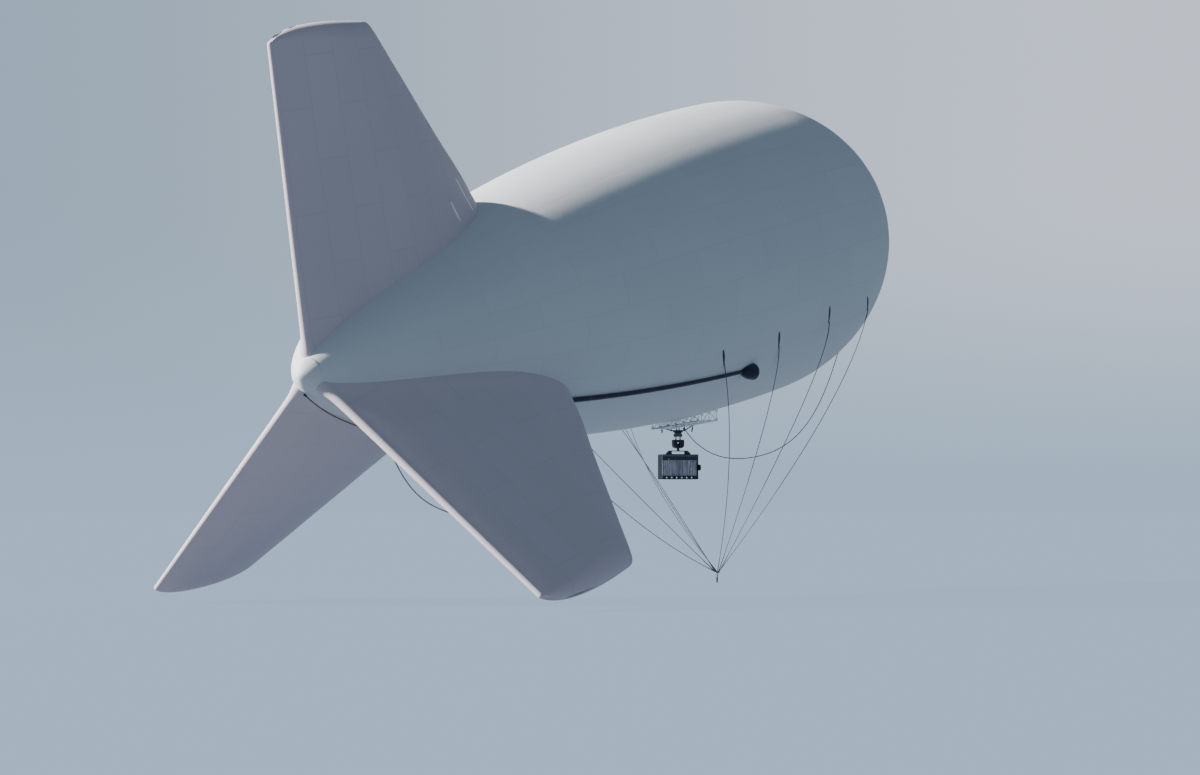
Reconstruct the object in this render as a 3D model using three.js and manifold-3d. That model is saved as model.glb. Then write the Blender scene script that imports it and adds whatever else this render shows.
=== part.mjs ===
// Tethered aerostat: a 28 m gas envelope with three inflated fins, its bridle and swivel,
// and a panning and tilting payload on a keel truss.
// Millimetres, +Z up, +X towards the nose, +Y to port.
// The origin is the envelope's centre of volume, on its axis. The envelope flies nose up,
// while the bridle and the payload hang plumb.

import * as THREE from 'three';
import { mergeVertices } from 'three/addons/utils/BufferGeometryUtils.js';
import { ConvexGeometry } from 'three/addons/geometries/ConvexGeometry.js';
import Module from 'manifold-3d';

const wasm = await Module();
wasm.setup();

// Driving dimensions
const GAP = 0.3;
const PITCH = 12.559;
const HULL_LENGTH = 28000;
const HULL_RADIUS = 4417;
const WIDEST_AT = 21810;
const CENTRE_AT = 16630;
const TAIL_FULLNESS = 1.792;
const TAIL_TAPER = 0.632;
const ENVELOPE_WALL = 10;
const HULL_SIDES = 48;
const TAIL_OPENING_AT = 120;
const TAIL_LIP_AT = 300;
const CAP_WALL = 12;
const NOSE_CAP_ANGLE = 84;
const LINE_DIAMETER = 20;
const RING_RADIUS = 55;
const RING_BAR = 12;
const CONFLUENCE = new THREE.Vector3(4177, 0, -8494);
const PAYLOAD_AT = 1790;
const PAYLOAD_TURN = -45;

const rad = THREE.MathUtils.degToRad;
const v3 = (x, y, z) => new THREE.Vector3(x, y, z);

// Finishes
const finish = (color, roughness, metalness = 0) =>
  new THREE.MeshStandardMaterial({ color, roughness, metalness });
const FABRIC = finish(0xdfe3e6, 0.62);
const WEBBING = finish(0x2e343c, 0.8);
const DUCT_CLOTH = finish(0x1b2230, 0.7);
const ROPE = finish(0x4a5158, 0.85);
const STEEL = finish(0x8d949a, 0.35, 0.9);
const TUBE_ALLOY = finish(0xb9bec2, 0.4, 0.85);
const FAIRING_WHITE = finish(0xeef0f1, 0.35);
const DARK_PAINT = finish(0x262d34, 0.5, 0.2);
const SLATE_PAINT = finish(0x4c535d, 0.55, 0.3);
const BLACK_CABLE = finish(0x15181b, 0.6);
const FITTING_BLACK = finish(0x202427, 0.45);

// Closed meshes, joined and cut
function solid(geometry, matrix) {
  const bare = geometry.index ? geometry.toNonIndexed() : geometry.clone();
  bare.deleteAttribute('normal');
  bare.deleteAttribute('uv');
  if (matrix) bare.applyMatrix4(matrix);
  const merged = mergeVertices(bare, 1e-4);
  const vertProperties = Float32Array.from(merged.attributes.position.array);
  const corners = merged.index.array;
  const triVerts = [];
  for (let i = 0; i < corners.length; i += 3) {
    const [a, b, c] = [corners[i], corners[i + 1], corners[i + 2]];
    if (a !== b && b !== c && c !== a) triVerts.push(a, b, c);
  }
  const at = (i) => v3(vertProperties[3 * i], vertProperties[3 * i + 1], vertProperties[3 * i + 2]);
  let volume = 0;
  for (let i = 0; i < triVerts.length; i += 3) {
    volume += at(triVerts[i]).dot(at(triVerts[i + 1]).cross(at(triVerts[i + 2])));
  }
  if (volume < 0) triVerts.reverse();
  const mesh = new wasm.Mesh({ numProp: 3, vertProperties, triVerts: Uint32Array.from(triVerts) });
  return new wasm.Manifold(mesh);
}

function shapeOf(body) {
  const mesh = body.getMesh();
  const geometry = new THREE.BufferGeometry();
  geometry.setAttribute('position', new THREE.BufferAttribute(mesh.vertProperties, 3));
  geometry.setIndex(new THREE.BufferAttribute(mesh.triVerts, 1));
  geometry.computeVertexNormals();
  return geometry;
}

function joined(bodies) {
  return bodies.reduce((sum, body) => sum.add(body));
}

// Plain solids, each placed by its own matrix
function placed(geometry, position, turn = [0, 0, 0]) {
  const at = new THREE.Matrix4().makeRotationFromEuler(new THREE.Euler(...turn.map(rad)));
  return solid(geometry, at.setPosition(...position));
}

function block(width, depth, height, position, turn) {
  return placed(new THREE.BoxGeometry(width, depth, height), position, turn);
}

function rod(from, to, radius, sides = 8) {
  const along = to.clone().sub(from);
  const turn = new THREE.Quaternion().setFromUnitVectors(v3(0, 1, 0), along.clone().normalize());
  const middle = from.clone().addScaledVector(along, 0.5);
  const geometry = new THREE.CylinderGeometry(radius, radius, along.length(), sides);
  return solid(geometry, new THREE.Matrix4().compose(middle, turn, v3(1, 1, 1)));
}

// A turned solid about the Z axis: the profile is radius and height, upwards or downwards
function turned(profile, sides, position = [0, 0, 0]) {
  const geometry = new THREE.LatheGeometry(profile.map(([r, z]) => new THREE.Vector2(r, z)), sides);
  geometry.rotateX(Math.PI / 2);
  return placed(geometry, position);
}

// A round tube along a curve
function tubeAlong(curve, radius, sides, steps) {
  const section = new THREE.Shape();
  for (let i = 0; i < sides; i += 1) {
    const angle = (2 * Math.PI * i) / sides;
    const point = [radius * Math.cos(angle), radius * Math.sin(angle)];
    if (i) section.lineTo(...point);
    else section.moveTo(...point);
  }
  const along = { extrudePath: curve, steps, bevelEnabled: false };
  return solid(new THREE.ExtrudeGeometry(section, along));
}

// The hull's radius at a distance forward of the tail tip: a full tail, then a half ellipse
function hullRadius(u) {
  const short = Math.min(1, 1 - u / WIDEST_AT);
  if (short > 0) return HULL_RADIUS * (1 - short ** TAIL_FULLNESS) ** TAIL_TAPER;
  const nose = (u - WIDEST_AT) / (HULL_LENGTH - WIDEST_AT);
  return HULL_RADIUS * Math.sqrt(Math.max(0, 1 - nose * nose));
}

function hullSlope(u) {
  const step = 1;
  return (hullRadius(u + step) - hullRadius(u - step)) / (2 * step);
}

// Stations of the hull, close together at the ends, as distance forward and radius
function hullStations() {
  const stations = [TAIL_OPENING_AT, TAIL_LIP_AT];
  for (const angle of [15, 24, 33, 42, 51, 60, 69, 79]) {
    stations.push(WIDEST_AT * (1 - Math.cos(rad(angle))));
  }
  for (const angle of [0, 14, 28, 41, 53, 64, 75, NOSE_CAP_ANGLE]) {
    stations.push(WIDEST_AT + (HULL_LENGTH - WIDEST_AT) * Math.sin(rad(angle)));
  }
  return stations;
}

// The station's point moved outwards, or inwards where the offset is negative
function offsetStation(u, offset) {
  const slope = hullSlope(u);
  const scale = offset / Math.hypot(1, slope);
  return [hullRadius(u) + scale, u - slope * scale];
}

const STATIONS = hullStations();

function alongHull(profile) {
  const points = profile.map(([r, u]) => new THREE.Vector2(r, u));
  return new THREE.LatheGeometry(points, HULL_SIDES).rotateZ(-Math.PI / 2);
}

function hullSolid(offset) {
  const skin = STATIONS.map((u) => offsetStation(u, offset));
  const tail = [0, TAIL_OPENING_AT - offset];
  return solid(alongHull([tail, ...skin, [0, HULL_LENGTH + offset]]));
}

const HULL_CLEAR = hullSolid(GAP);

// Points in the hull's frame are distance forward of the tail tip, port and up
const HULL_TURN = new THREE.Matrix4().makeRotationY(-rad(PITCH));
const HULL_TO_ROW = HULL_TURN.clone().multiply(new THREE.Matrix4().makeTranslation(-CENTRE_AT, 0, 0));
const toRow = (point) => point.clone().applyMatrix4(HULL_TO_ROW);
const HULL_CLEAR_IN_ROW = solid(shapeOf(HULL_CLEAR), HULL_TO_ROW);

// A point on the hull, below the horizontal on one side: -1 starboard, 1 port
function onHull(u, below, side, height = 0) {
  const [r, at] = offsetStation(u, height);
  return v3(at, side * r * Math.cos(rad(below)), -r * Math.sin(rad(below)));
}

// The envelope's shell, open at the tail under its cap
function envelope() {
  const outside = STATIONS.map((u) => offsetStation(u, 0)).reverse();
  const inside = STATIONS.map((u) => offsetStation(u, -ENVELOPE_WALL));
  const insideTip = [0, HULL_LENGTH - ENVELOPE_WALL];
  return solid(alongHull([[0, HULL_LENGTH], ...outside, ...inside, insideTip]));
}

function tailCap() {
  const outside = [0.01, 0.2].map((part) => offsetStation(part * TAIL_OPENING_AT, CAP_WALL));
  const lip = [TAIL_OPENING_AT, TAIL_LIP_AT].map((u) => offsetStation(u, CAP_WALL));
  const profile = [[0, -CAP_WALL], ...outside, ...lip, offsetStation(TAIL_LIP_AT, 0), [0, TAIL_LIP_AT]];
  return solid(alongHull(profile)).subtract(HULL_CLEAR);
}

const NOSE_DISC = 130;
const NOSE_FACE_AT = HULL_LENGTH + 14;

function noseCap() {
  const [rim, rimAt] = offsetStation(STATIONS.at(-1), 8);
  const profile = [
    [0, rimAt - 60], [rim * 0.98, rimAt - 60], [rim, rimAt], [NOSE_DISC, NOSE_FACE_AT], [0, NOSE_FACE_AT],
  ];
  return solid(alongHull(profile)).subtract(HULL_CLEAR);
}

// The mooring probe stands on the nose cap: flange, rod and a flat-ended head
const PROBE = { length: 420, flange: 100, rod: 30, head: 48, face: 36 };

function mooringProbe() {
  const { length, flange, rod: shank, head, face } = PROBE;
  const profile = [
    [0, 0], [flange, 0], [flange, 16], [shank + 4, 24], [shank, 60],
    [shank, length - 90], [head, length - 70], [head, length - 16], [face, length], [0, length],
  ];
  const seat = NOSE_FACE_AT + GAP;
  const points = profile.map(([r, at]) => new THREE.Vector2(r, seat + at));
  return solid(new THREE.LatheGeometry(points, 16).rotateZ(-Math.PI / 2));
}

// Fins: each is the hull of a swept, tapering wing section, an arched tip tube and a blunt
// trailing edge. Points are distance forward (x), thickness (y) and distance out from the
// hull's axis (z).
const FIN = {
  leadRoot: { u: 7020, r: 3416, radius: 510 },
  leadTip: { u: 4100, r: 7390, radius: 460 },
  trailRoot: { u: 380, r: 300, half: 120 },
  trailTip: { u: 478, r: 7590, half: 80 },
  innerRadius: 300,
  thickAt: { r: 2400, half: 890 },
  thickTip: { r: 7390, half: 480 },
  fullestAt: 0.38,
  sectionOut: 7000,
  nosePast: 80,
};
const FIN_SWEEP = (FIN.leadRoot.u - FIN.leadTip.u) / (FIN.leadTip.r - FIN.leadRoot.r);

// The leading and trailing edges, and half the trailing edge's thickness, at a distance out
function leadEdge(r) {
  const { leadRoot, nosePast } = FIN;
  const nose = leadRoot.u - (r - leadRoot.r) * FIN_SWEEP;
  return nose + leadRoot.radius / Math.cos(Math.atan(FIN_SWEEP)) + nosePast;
}

function trailEdge(r) {
  const { trailRoot, trailTip } = FIN;
  return THREE.MathUtils.mapLinear(r, trailRoot.r, trailTip.r, trailRoot.u, trailTip.u);
}

function trailHalf(r) {
  const { trailRoot, trailTip } = FIN;
  return THREE.MathUtils.mapLinear(r, trailRoot.r, trailTip.r, trailRoot.half, trailTip.half);
}

// Half the fin's thickness at a distance forward and out: a rounded nose back to the fullest
// part, then an easing wedge to the trailing edge
function finHalf(u, r) {
  const { thickAt, thickTip, fullestAt } = FIN;
  const most = THREE.MathUtils.mapLinear(r, thickAt.r, thickTip.r, thickAt.half, thickTip.half);
  const back = (leadEdge(r) - u) / (leadEdge(r) - trailEdge(r));
  if (back < fullestAt) return most * (1 - (1 - Math.max(0, back) / fullestAt) ** 2) ** 0.55;
  const aft = Math.min(1, (back - fullestAt) / (1 - fullestAt));
  return trailHalf(r) + (most - trailHalf(r)) * (1 - aft ** 1.7);
}

// The tip edge's tube between the leading corner and the trailing corner
const FIN_TIP = [
  { u: 3300, r: 7480, radius: 430 },
  { u: 2300, r: 7590, radius: 330 },
  { u: 1300, r: 7630, radius: 200 },
  { u: 750, r: 7600, radius: 130 },
];

const FIN_ANGLES = { upper: 0, starboard: 133.3, port: -133.3 };

// Stations of a fin's section, as shares of its chord back from the nose
const FIN_STATIONS = [0, 0.012, 0.04, 0.09, 0.16, 0.25, 0.38, 0.5, 0.62, 0.74, 0.87, 1];

function finSolid(inset, deeper = 0) {
  const { leadTip, trailRoot, trailTip, innerRadius, sectionOut } = FIN;
  const points = [];
  const swept = Math.atan(FIN_SWEEP);
  const startR = innerRadius - deeper;
  for (const r of [startR, sectionOut]) {
    const [lead, trail] = [leadEdge(r), trailEdge(r)];
    for (const back of FIN_STATIONS) {
      const u = lead + (trail - lead) * back;
      const half = Math.max(0, finHalf(u, r) - inset);
      const at = lead - inset + (trail - lead + 2 * inset) * back;
      points.push(v3(at, half, r), v3(at, -half, r));
    }
  }
  const corner = leadTip.radius - inset;
  for (let turn = 90 - THREE.MathUtils.radToDeg(swept); turn >= 0; turn -= 10.75) {
    for (let angle = -90; angle <= 90; angle += 15) {
      const out = corner * Math.cos(rad(angle));
      const [ahead, away] = [out * Math.sin(rad(turn)), out * Math.cos(rad(turn))];
      points.push(v3(leadTip.u + ahead, corner * Math.sin(rad(angle)), leadTip.r + away));
    }
  }
  for (const { u, r, radius } of FIN_TIP) {
    for (let angle = -90; angle <= 90; angle += 30) {
      const reach = radius - inset;
      points.push(v3(u, reach * Math.sin(rad(angle)), r + reach * Math.cos(rad(angle))));
    }
  }
  for (const side of [-1, 1]) {
    points.push(v3(trailRoot.u + inset, side * (trailRoot.half - inset), startR));
    points.push(v3(trailTip.u + inset, side * (trailTip.half - inset), trailTip.r - inset));
  }
  return solid(new ConvexGeometry(points));
}

function turnedFin(name, inset, deeper) {
  const matrix = new THREE.Matrix4().makeRotationX(rad(FIN_ANGLES[name]));
  return solid(shapeOf(finSolid(inset, deeper)), matrix);
}

// A fin is a fabric shell, open where it is sewn to the hull
function fin(name) {
  return turnedFin(name, 0).subtract(turnedFin(name, ENVELOPE_WALL, 100)).subtract(HULL_CLEAR);
}

const FIN_CLEAR = {
  starboard: turnedFin('starboard', -GAP),
  port: turnedFin('port', -GAP),
};

// Air ducts that fill the lower fins, each fed by a scoop further forward
const DUCT = {
  from: 7750, to: 15770, below: 42.1, belowFore: 41.1, radius: 70, rise: 36, steps: 10,
};
const SCOOP = { length: 500, mouth: 232, wall: 12, rise: 112 };

function finDuct(side, name) {
  const points = [];
  for (let i = 0; i <= DUCT.steps; i += 1) {
    const u = DUCT.from + ((DUCT.to - DUCT.from) * i) / DUCT.steps;
    const below = THREE.MathUtils.lerp(DUCT.below, DUCT.belowFore, i / DUCT.steps);
    points.push(onHull(u, below, side, DUCT.rise));
  }
  const tube = tubeAlong(new THREE.CatmullRomCurve3(points), DUCT.radius, 10, 14);
  const scoop = scoopTurned([[0, -GAP], [400, -GAP], [400, 200], [0, 200]], side);
  return tube.subtract(HULL_CLEAR).subtract(FIN_CLEAR[name]).subtract(scoop);
}

// A solid turned about the scoop's axis, from its back at the duct's end to its mouth
function scoopTurned(profile, side) {
  const geometry = new THREE.LatheGeometry(profile.map(([r, at]) => new THREE.Vector2(r, at)), 16);
  geometry.rotateZ(-Math.PI / 2);
  const rear = onHull(DUCT.to - 40, DUCT.belowFore, side, DUCT.rise);
  const front = onHull(DUCT.to - 40 + SCOOP.length, DUCT.belowFore, side, SCOOP.rise);
  const along = front.sub(rear).normalize();
  const turn = new THREE.Quaternion().setFromUnitVectors(v3(1, 0, 0), along);
  return solid(geometry, new THREE.Matrix4().compose(rear, turn, v3(1, 1, 1)));
}

function ductScoop(side) {
  const { length, mouth, wall } = SCOOP;
  const back = DUCT.radius + 14;
  return scoopTurned([
    [0, 0], [back, 0], [mouth * 0.86, length * 0.5], [mouth, length],
    [mouth - wall, length], [mouth * 0.86 - wall, length * 0.5], [back - wall, wall], [0, wall],
  ], side).subtract(HULL_CLEAR);
}

// Suspension lines: the station and the degrees below the horizontal where the load patch
// starts, how far ahead and how many degrees down it runs, the seat on the ring, and how far
// the line bows ahead, outboard and up between its ends
const LINES = [
  { name: '1', u: 14070, below: 27.9, ahead: 400, spread: 7.5, seat: 140, bow: [-160, 610, 470] },
  { name: '2', u: 16920, below: 25.8, ahead: 360, spread: 7.5, seat: 100, bow: [0, 1010, 1980] },
  { name: '3', u: 19716, below: 20.8, ahead: 280, spread: 7.5, seat: 60, bow: [-800, 2230, 2380] },
  { name: '4', u: 22400, below: 22.6, ahead: 500, spread: 7.0, seat: 20, bow: [-1560, 2620, 1190] },
];
const AFT_LINE = { name: 'aft', u: 10400, seat: 180, bow: [0, 0, -680] };
const PATCH = { width: 76, thickness: 16, length: 500 };
const PATCH_DEPTH = 40;
const LINE_HEIGHT = PATCH.thickness + LINE_DIAMETER / 2 - 2;
const LINE_LAP = 60;

// A point of a load patch's middle line, at a share of its run
function patchPoint(line, side, part, height = 0) {
  return onHull(line.u + line.ahead * part, line.below + line.spread * part, side, height);
}

// A load patch is a strip that follows the hull around and ahead, from its top edge down to
// the line. It can be grown, to cut what rests on it.
function loadPatch(line, side, grown = 0) {
  const points = [];
  const across = PATCH.width / 2 + grown;
  const run = patchPoint(line, side, 1).distanceTo(patchPoint(line, side, 0));
  const more = grown / run;
  for (let i = 0; i <= 4; i += 1) {
    points.push(patchPoint(line, side, -more + ((1 + 2 * more) * i) / 4));
  }
  const along = points[4].clone().sub(points[0]);
  const top = PATCH.thickness + grown;
  const rings = points.map((point) => {
    const out = v3(-hullSlope(point.x), 0, 0).add(v3(0, point.y, point.z).normalize()).normalize();
    const beside = along.clone().cross(out).normalize();
    const section = [[-PATCH_DEPTH, -across], [top, -across], [top, across], [-PATCH_DEPTH, across]];
    return section.map(([height, way]) => (
      point.clone().addScaledVector(out, height).addScaledVector(beside, way)));
  });
  const [first, last] = [rings[0], rings[4]];
  const corners = [first[0], first[2], first[1], first[0], first[3], first[2]];
  corners.push(last[0], last[1], last[2], last[0], last[2], last[3]);
  for (let i = 0; i < 4; i += 1) {
    for (let k = 0; k < 4; k += 1) {
      const [a, b] = [rings[i][k], rings[i][(k + 1) % 4]];
      const [c, d] = [rings[i + 1][(k + 1) % 4], rings[i + 1][k]];
      corners.push(a, b, c, a, c, d);
    }
  }
  const strip = new THREE.BufferGeometry().setFromPoints(corners);
  return solid(strip).subtract(HULL_CLEAR);
}

// The aft patch runs along the keel, forward to its line
function keelPatch(u, grown = 0) {
  const corners = [];
  const half = PATCH.width / 2 + grown;
  for (const at of [u - PATCH.length - grown, u + grown]) {
    const point = onHull(at, 90, 1);
    for (const height of [-PATCH_DEPTH, PATCH.thickness + grown]) {
      for (const across of [-half, half]) corners.push(point.clone().add(v3(0, across, -height)));
    }
  }
  return solid(new ConvexGeometry(corners)).subtract(HULL_CLEAR);
}

const RING = solid(new THREE.TorusGeometry(RING_RADIUS, RING_BAR, 8, 20));
const RING_SPACE = new THREE.TorusGeometry(RING_RADIUS, RING_BAR + GAP + 0.2, 8, 20);
const RING_CLEAR = placed(RING_SPACE, CONFLUENCE.toArray());

function suspensionLine(start, seat, bow) {
  const angle = rad(seat);
  const end = CONFLUENCE.clone().add(v3(RING_RADIUS * Math.cos(angle), RING_RADIUS * Math.sin(angle), 0));
  const control = start.clone().add(end).multiplyScalar(0.5).add(bow);
  const curve = new THREE.QuadraticBezierCurve3(start, control, end);
  return tubeAlong(curve, LINE_DIAMETER / 2, 6, 9).subtract(RING_CLEAR);
}

// Each side line laps over its patch's lower edge, and the aft one over its patch's front
function sideLine(line, side) {
  const run = patchPoint(line, side, 1).distanceTo(patchPoint(line, side, 0));
  const start = toRow(patchPoint(line, side, 1 - LINE_LAP / run, LINE_HEIGHT));
  const bow = v3(line.bow[0], side * line.bow[1], line.bow[2]);
  const patch = solid(shapeOf(loadPatch(line, side, GAP)), HULL_TO_ROW);
  return suspensionLine(start, side * line.seat, bow).subtract(patch).subtract(HULL_CLEAR_IN_ROW);
}

function aftLine() {
  const start = toRow(onHull(AFT_LINE.u - LINE_LAP, 90, 1, LINE_HEIGHT));
  const patch = solid(shapeOf(keelPatch(AFT_LINE.u, GAP)), HULL_TO_ROW);
  return suspensionLine(start, AFT_LINE.seat, v3(...AFT_LINE.bow)).subtract(patch);
}

// The swivel under the ring, from the ring's centre downwards
const YOKE_TOP = -RING_BAR - GAP;
const YOKE = { disc: 66, thick: 14, boss: 26, bossEnd: -66, pin: 12, pinEnd: -130 };
const SWIVEL = { top: -71, radius: 32, bore: 12.8, boreEnd: -135, bottom: -165 };
const SOCKET = { length: 150, top: 30, bottom: 22 };

function swivelYoke() {
  const { disc, thick, boss, bossEnd, pin, pinEnd } = YOKE;
  return turned([
    [0, YOKE_TOP], [disc, YOKE_TOP], [disc, YOKE_TOP - thick], [boss, YOKE_TOP - thick - 16],
    [boss, bossEnd], [pin, bossEnd], [pin, pinEnd], [0, pinEnd],
  ], 20, CONFLUENCE.toArray());
}

function swivelBody() {
  const { top, radius, bore, boreEnd, bottom } = SWIVEL;
  return turned([
    [0, boreEnd], [bore, boreEnd], [bore, top], [radius - 6, top], [radius, top - 6],
    [radius, bottom + 8], [radius - 8, bottom], [0, bottom],
  ], 20, CONFLUENCE.toArray());
}

function tetherSocket() {
  const top = SWIVEL.bottom - GAP;
  const end = top - SOCKET.length;
  return turned([[0, top], [SOCKET.top, top], [SOCKET.top, top - 30], [SOCKET.bottom, end], [0, end]],
    20, CONFLUENCE.toArray());
}

// The keel truss: straight chords under the belly, between two stations of the hull
const TRUSS = {
  aftAt: 16560, foreAt: 19330, half: 300, bays: 6, seat: 32,
  aftDepth: 190, foreDepth: 320, chord: 22, strut: 13,
};

const bellyAft = toRow(onHull(TRUSS.aftAt, 90, 1));
const bellyFore = toRow(onHull(TRUSS.foreAt, 90, 1));

function trussJoint(part, side, lower) {
  const joint = bellyAft.clone().lerp(bellyFore, part);
  const depth = TRUSS.aftDepth + (TRUSS.foreDepth - TRUSS.aftDepth) * part;
  joint.z -= TRUSS.seat + TRUSS.chord + (lower ? depth : 0);
  joint.y = side * TRUSS.half;
  return joint;
}

function payloadTruss() {
  const { bays, chord, strut } = TRUSS;
  const members = [];
  for (const side of [-1, 1]) {
    for (const lower of [false, true]) {
      members.push(rod(trussJoint(-0.02, side, lower), trussJoint(1.02, side, lower), chord, 8));
    }
    for (let i = 0; i <= bays; i += 1) {
      members.push(rod(trussJoint(i / bays, side, false), trussJoint(i / bays, side, true), strut, 6));
    }
    for (let i = 0; i < bays; i += 1) {
      const up = i % 2 === 0;
      members.push(rod(trussJoint(i / bays, side, up), trussJoint((i + 1) / bays, side, !up), strut, 6));
    }
  }
  for (let i = 0; i <= bays; i += 1) {
    for (const lower of [false, true]) {
      members.push(rod(trussJoint(i / bays, -1, lower), trussJoint(i / bays, 1, lower), strut, 6));
    }
  }
  return joined(members);
}

// Foam pads between the hull and the truss's upper chords
function bellyPad(side) {
  const slope = Math.atan2(bellyFore.z - bellyAft.z, bellyFore.x - bellyAft.x);
  const length = bellyAft.distanceTo(bellyFore) + 160;
  const middle = bellyAft.clone().lerp(bellyFore, 0.5);
  const thick = 160;
  const underside = -TRUSS.seat / Math.cos(slope) + GAP + 1;
  const up = v3(-Math.sin(slope), 0, Math.cos(slope));
  middle.addScaledVector(up, underside + thick / 2).setY(side * TRUSS.half);
  const turn = [0, -THREE.MathUtils.radToDeg(slope), 0];
  return block(length, 130, thick, middle.toArray(), turn).subtract(HULL_CLEAR_IN_ROW);
}

// A white fairing on the belly just aft of the truss: a half egg, cut off ahead of the pads' ends
const FAIRING = { long: 340, wide: 120, high: 85, at: [520, -110, -4185], nose: 60 };

function bellyFairing() {
  const { long, wide, high, at, nose } = FAIRING;
  const egg = new THREE.SphereGeometry(1, 16, 10).scale(long, wide, high);
  const ahead = block(400, 900, 900, [bellyAft.x - nose + 200, 0, bellyAft.z]);
  return placed(egg, at, [0, 8, 0]).subtract(HULL_CLEAR_IN_ROW).subtract(ahead);
}

// Stub antennas below the truss, each on a rod from a lower cross tube
function stubAntenna(part, drop, length, lean) {
  const joint = trussJoint(part, 1, true).setY(0);
  joint.z -= TRUSS.strut + GAP;
  const top = joint.clone().add(v3(0, 0, -drop));
  const end = top.clone().add(v3(-lean, 0, -length));
  return joined([rod(joint, top.clone().add(v3(0, 0, -8)), 10, 8), rod(top, end, 22, 10)]);
}

// The hanger: a bored plate, with four braces to the truss's lower chords
const PLATE = { radius: 230, top: -4375, bottom: -4445, bore: 40.6 };

function gimbalHanger() {
  const { radius, top, bottom, bore } = PLATE;
  const plate = turned([[bore, bottom], [radius, bottom], [radius, top], [bore, top], [bore, bottom]],
    28, [PAYLOAD_AT, 0, 0]);
  const braces = [];
  for (const part of [1, 3]) {
    for (const side of [-1, 1]) {
      const joint = trussJoint(part / TRUSS.bays, side, true);
      const foot = v3(PAYLOAD_AT + Math.sign(joint.x - PAYLOAD_AT) * 150, side * 120, top - 10);
      braces.push(rod(joint, foot, 19, 8));
    }
  }
  return joined([plate, ...braces]);
}

// The truss's chords, thickened by the seat gap, so that the braces end against them
function trussClear() {
  const members = [];
  for (const side of [-1, 1]) {
    members.push(rod(trussJoint(-0.1, side, true), trussJoint(1.1, side, true), TRUSS.chord + 2, 8));
    for (const part of [1, 3]) {
      const at = part / TRUSS.bays;
      members.push(rod(trussJoint(at, side, false), trussJoint(at, side, true), TRUSS.strut + 1, 6));
      members.push(rod(trussJoint(at, -1, true), trussJoint(at, 1, true), TRUSS.strut + 1, 6));
    }
  }
  return joined(members);
}

// The panning pieces: across is the payload box's width, and back is away from its face
const COLLAR = { stub: 40, stubTop: -4385, neck: 100, top: -4450, radius: 130, step: -4480, bottom: -4560 };
const POST = { radius: 25, across: 66 };
const FORK = {
  top: -4650, width: 320, depth: 200, height: 240, slot: 90, slotTop: 70, chamfer: 60, cheek: 150,
};
const TILT_AT = -4800;
const TILT_PIN = 18;
const TILT_BORE = 18.9;

function panCollar() {
  const { stub, stubTop, neck, top, radius, step, bottom } = COLLAR;
  return turned([
    [0, stubTop], [stub, stubTop], [stub, top], [neck, top],
    [neck, step], [radius, step], [radius, bottom], [0, bottom],
  ], 24);
}

function panPost(side) {
  const [top, bottom] = [COLLAR.bottom - GAP, FORK.top + GAP];
  return rod(v3(side * POST.across, 0, bottom), v3(side * POST.across, 0, top), POST.radius, 12);
}

// A flat outline in across and up, with the depth centred on the pan axis
function plateSolid(outline, depth, holes = []) {
  const shape = new THREE.Shape(outline.map(([x, z]) => new THREE.Vector2(x, z)));
  for (const hole of holes) shape.holes.push(new THREE.Path(hole.map(([x, z]) => new THREE.Vector2(x, z))));
  const geometry = new THREE.ExtrudeGeometry(shape, { depth, bevelEnabled: false });
  geometry.translate(0, 0, -depth / 2).rotateX(Math.PI / 2);
  return solid(geometry);
}

function tiltFork() {
  const { top, width, depth, height, slot, slotTop, chamfer, cheek } = FORK;
  const [half, inner] = [width / 2, slot / 2];
  const right = [
    [half, top], [half, top - cheek - 30], [half - chamfer, top - height],
    [inner, top - height], [inner, top - slotTop],
  ];
  const left = right.map(([x, z]) => [-x, z]).reverse();
  const pinHole = rod(v3(-half - 10, 0, TILT_AT), v3(half + 10, 0, TILT_AT), TILT_BORE, 16);
  return plateSolid([...right, ...left], depth).subtract(pinHole);
}

// The tilting pieces
const BRACKET = { top: -4960, bottom: -5069.7, base: 355, crown: 275, slot: 200, depth: 120 };
const BOX = { top: -5070, width: 1080, depth: 450, height: 715 };
const BAND = { height: 165, proud: 16 };
const STRIP = { height: 95, lamps: 6, lamp: 26, proud: 16, first: -410, pitch: 149 };
const PANEL = { ribs: 21, recess: 40, frame: 70 };
const PANEL_HEIGHT = BOX.height - BAND.height - STRIP.height;

function tiltNeck() {
  const width = 70;
  const head = rod(v3(-width / 2, 0, TILT_AT), v3(width / 2, 0, TILT_AT), 48, 16);
  const shank = block(width, 80, TILT_AT - BRACKET.top - GAP, [0, 0, (TILT_AT + BRACKET.top + GAP) / 2]);
  const pin = rod(v3(-FORK.cheek, 0, TILT_AT), v3(FORK.cheek, 0, TILT_AT), TILT_PIN, 16);
  return joined([head, shank, pin]);
}

function bridgeBracket() {
  const { top, bottom, base, crown, slot, depth } = BRACKET;
  const shoulder = bottom + 34;
  const outline = [
    [-base, bottom], [base, bottom], [base, shoulder], [crown, top], [-crown, top], [-base, shoulder],
  ];
  const hole = [[-slot, top - 24], [-slot, bottom + 12], [slot, bottom + 12], [slot, top - 24]];
  return plateSolid(outline, depth, [hole]);
}

const boxFace = -BOX.depth / 2;
const boxBottom = BOX.top - BOX.height;

function boxCase() {
  const { top, width, depth, height } = BOX;
  const body = block(width, depth, height, [0, 0, top - height / 2]);
  const middle = top - BAND.height - PANEL_HEIGHT / 2;
  const recess = block(width - PANEL.frame, PANEL.recess * 2, PANEL_HEIGHT, [0, boxFace, middle]);
  return body.subtract(recess);
}

function boxBand() {
  const { height, proud } = BAND;
  return block(BOX.width, proud, height, [0, boxFace - proud / 2 - GAP, BOX.top - height / 2]);
}

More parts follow.
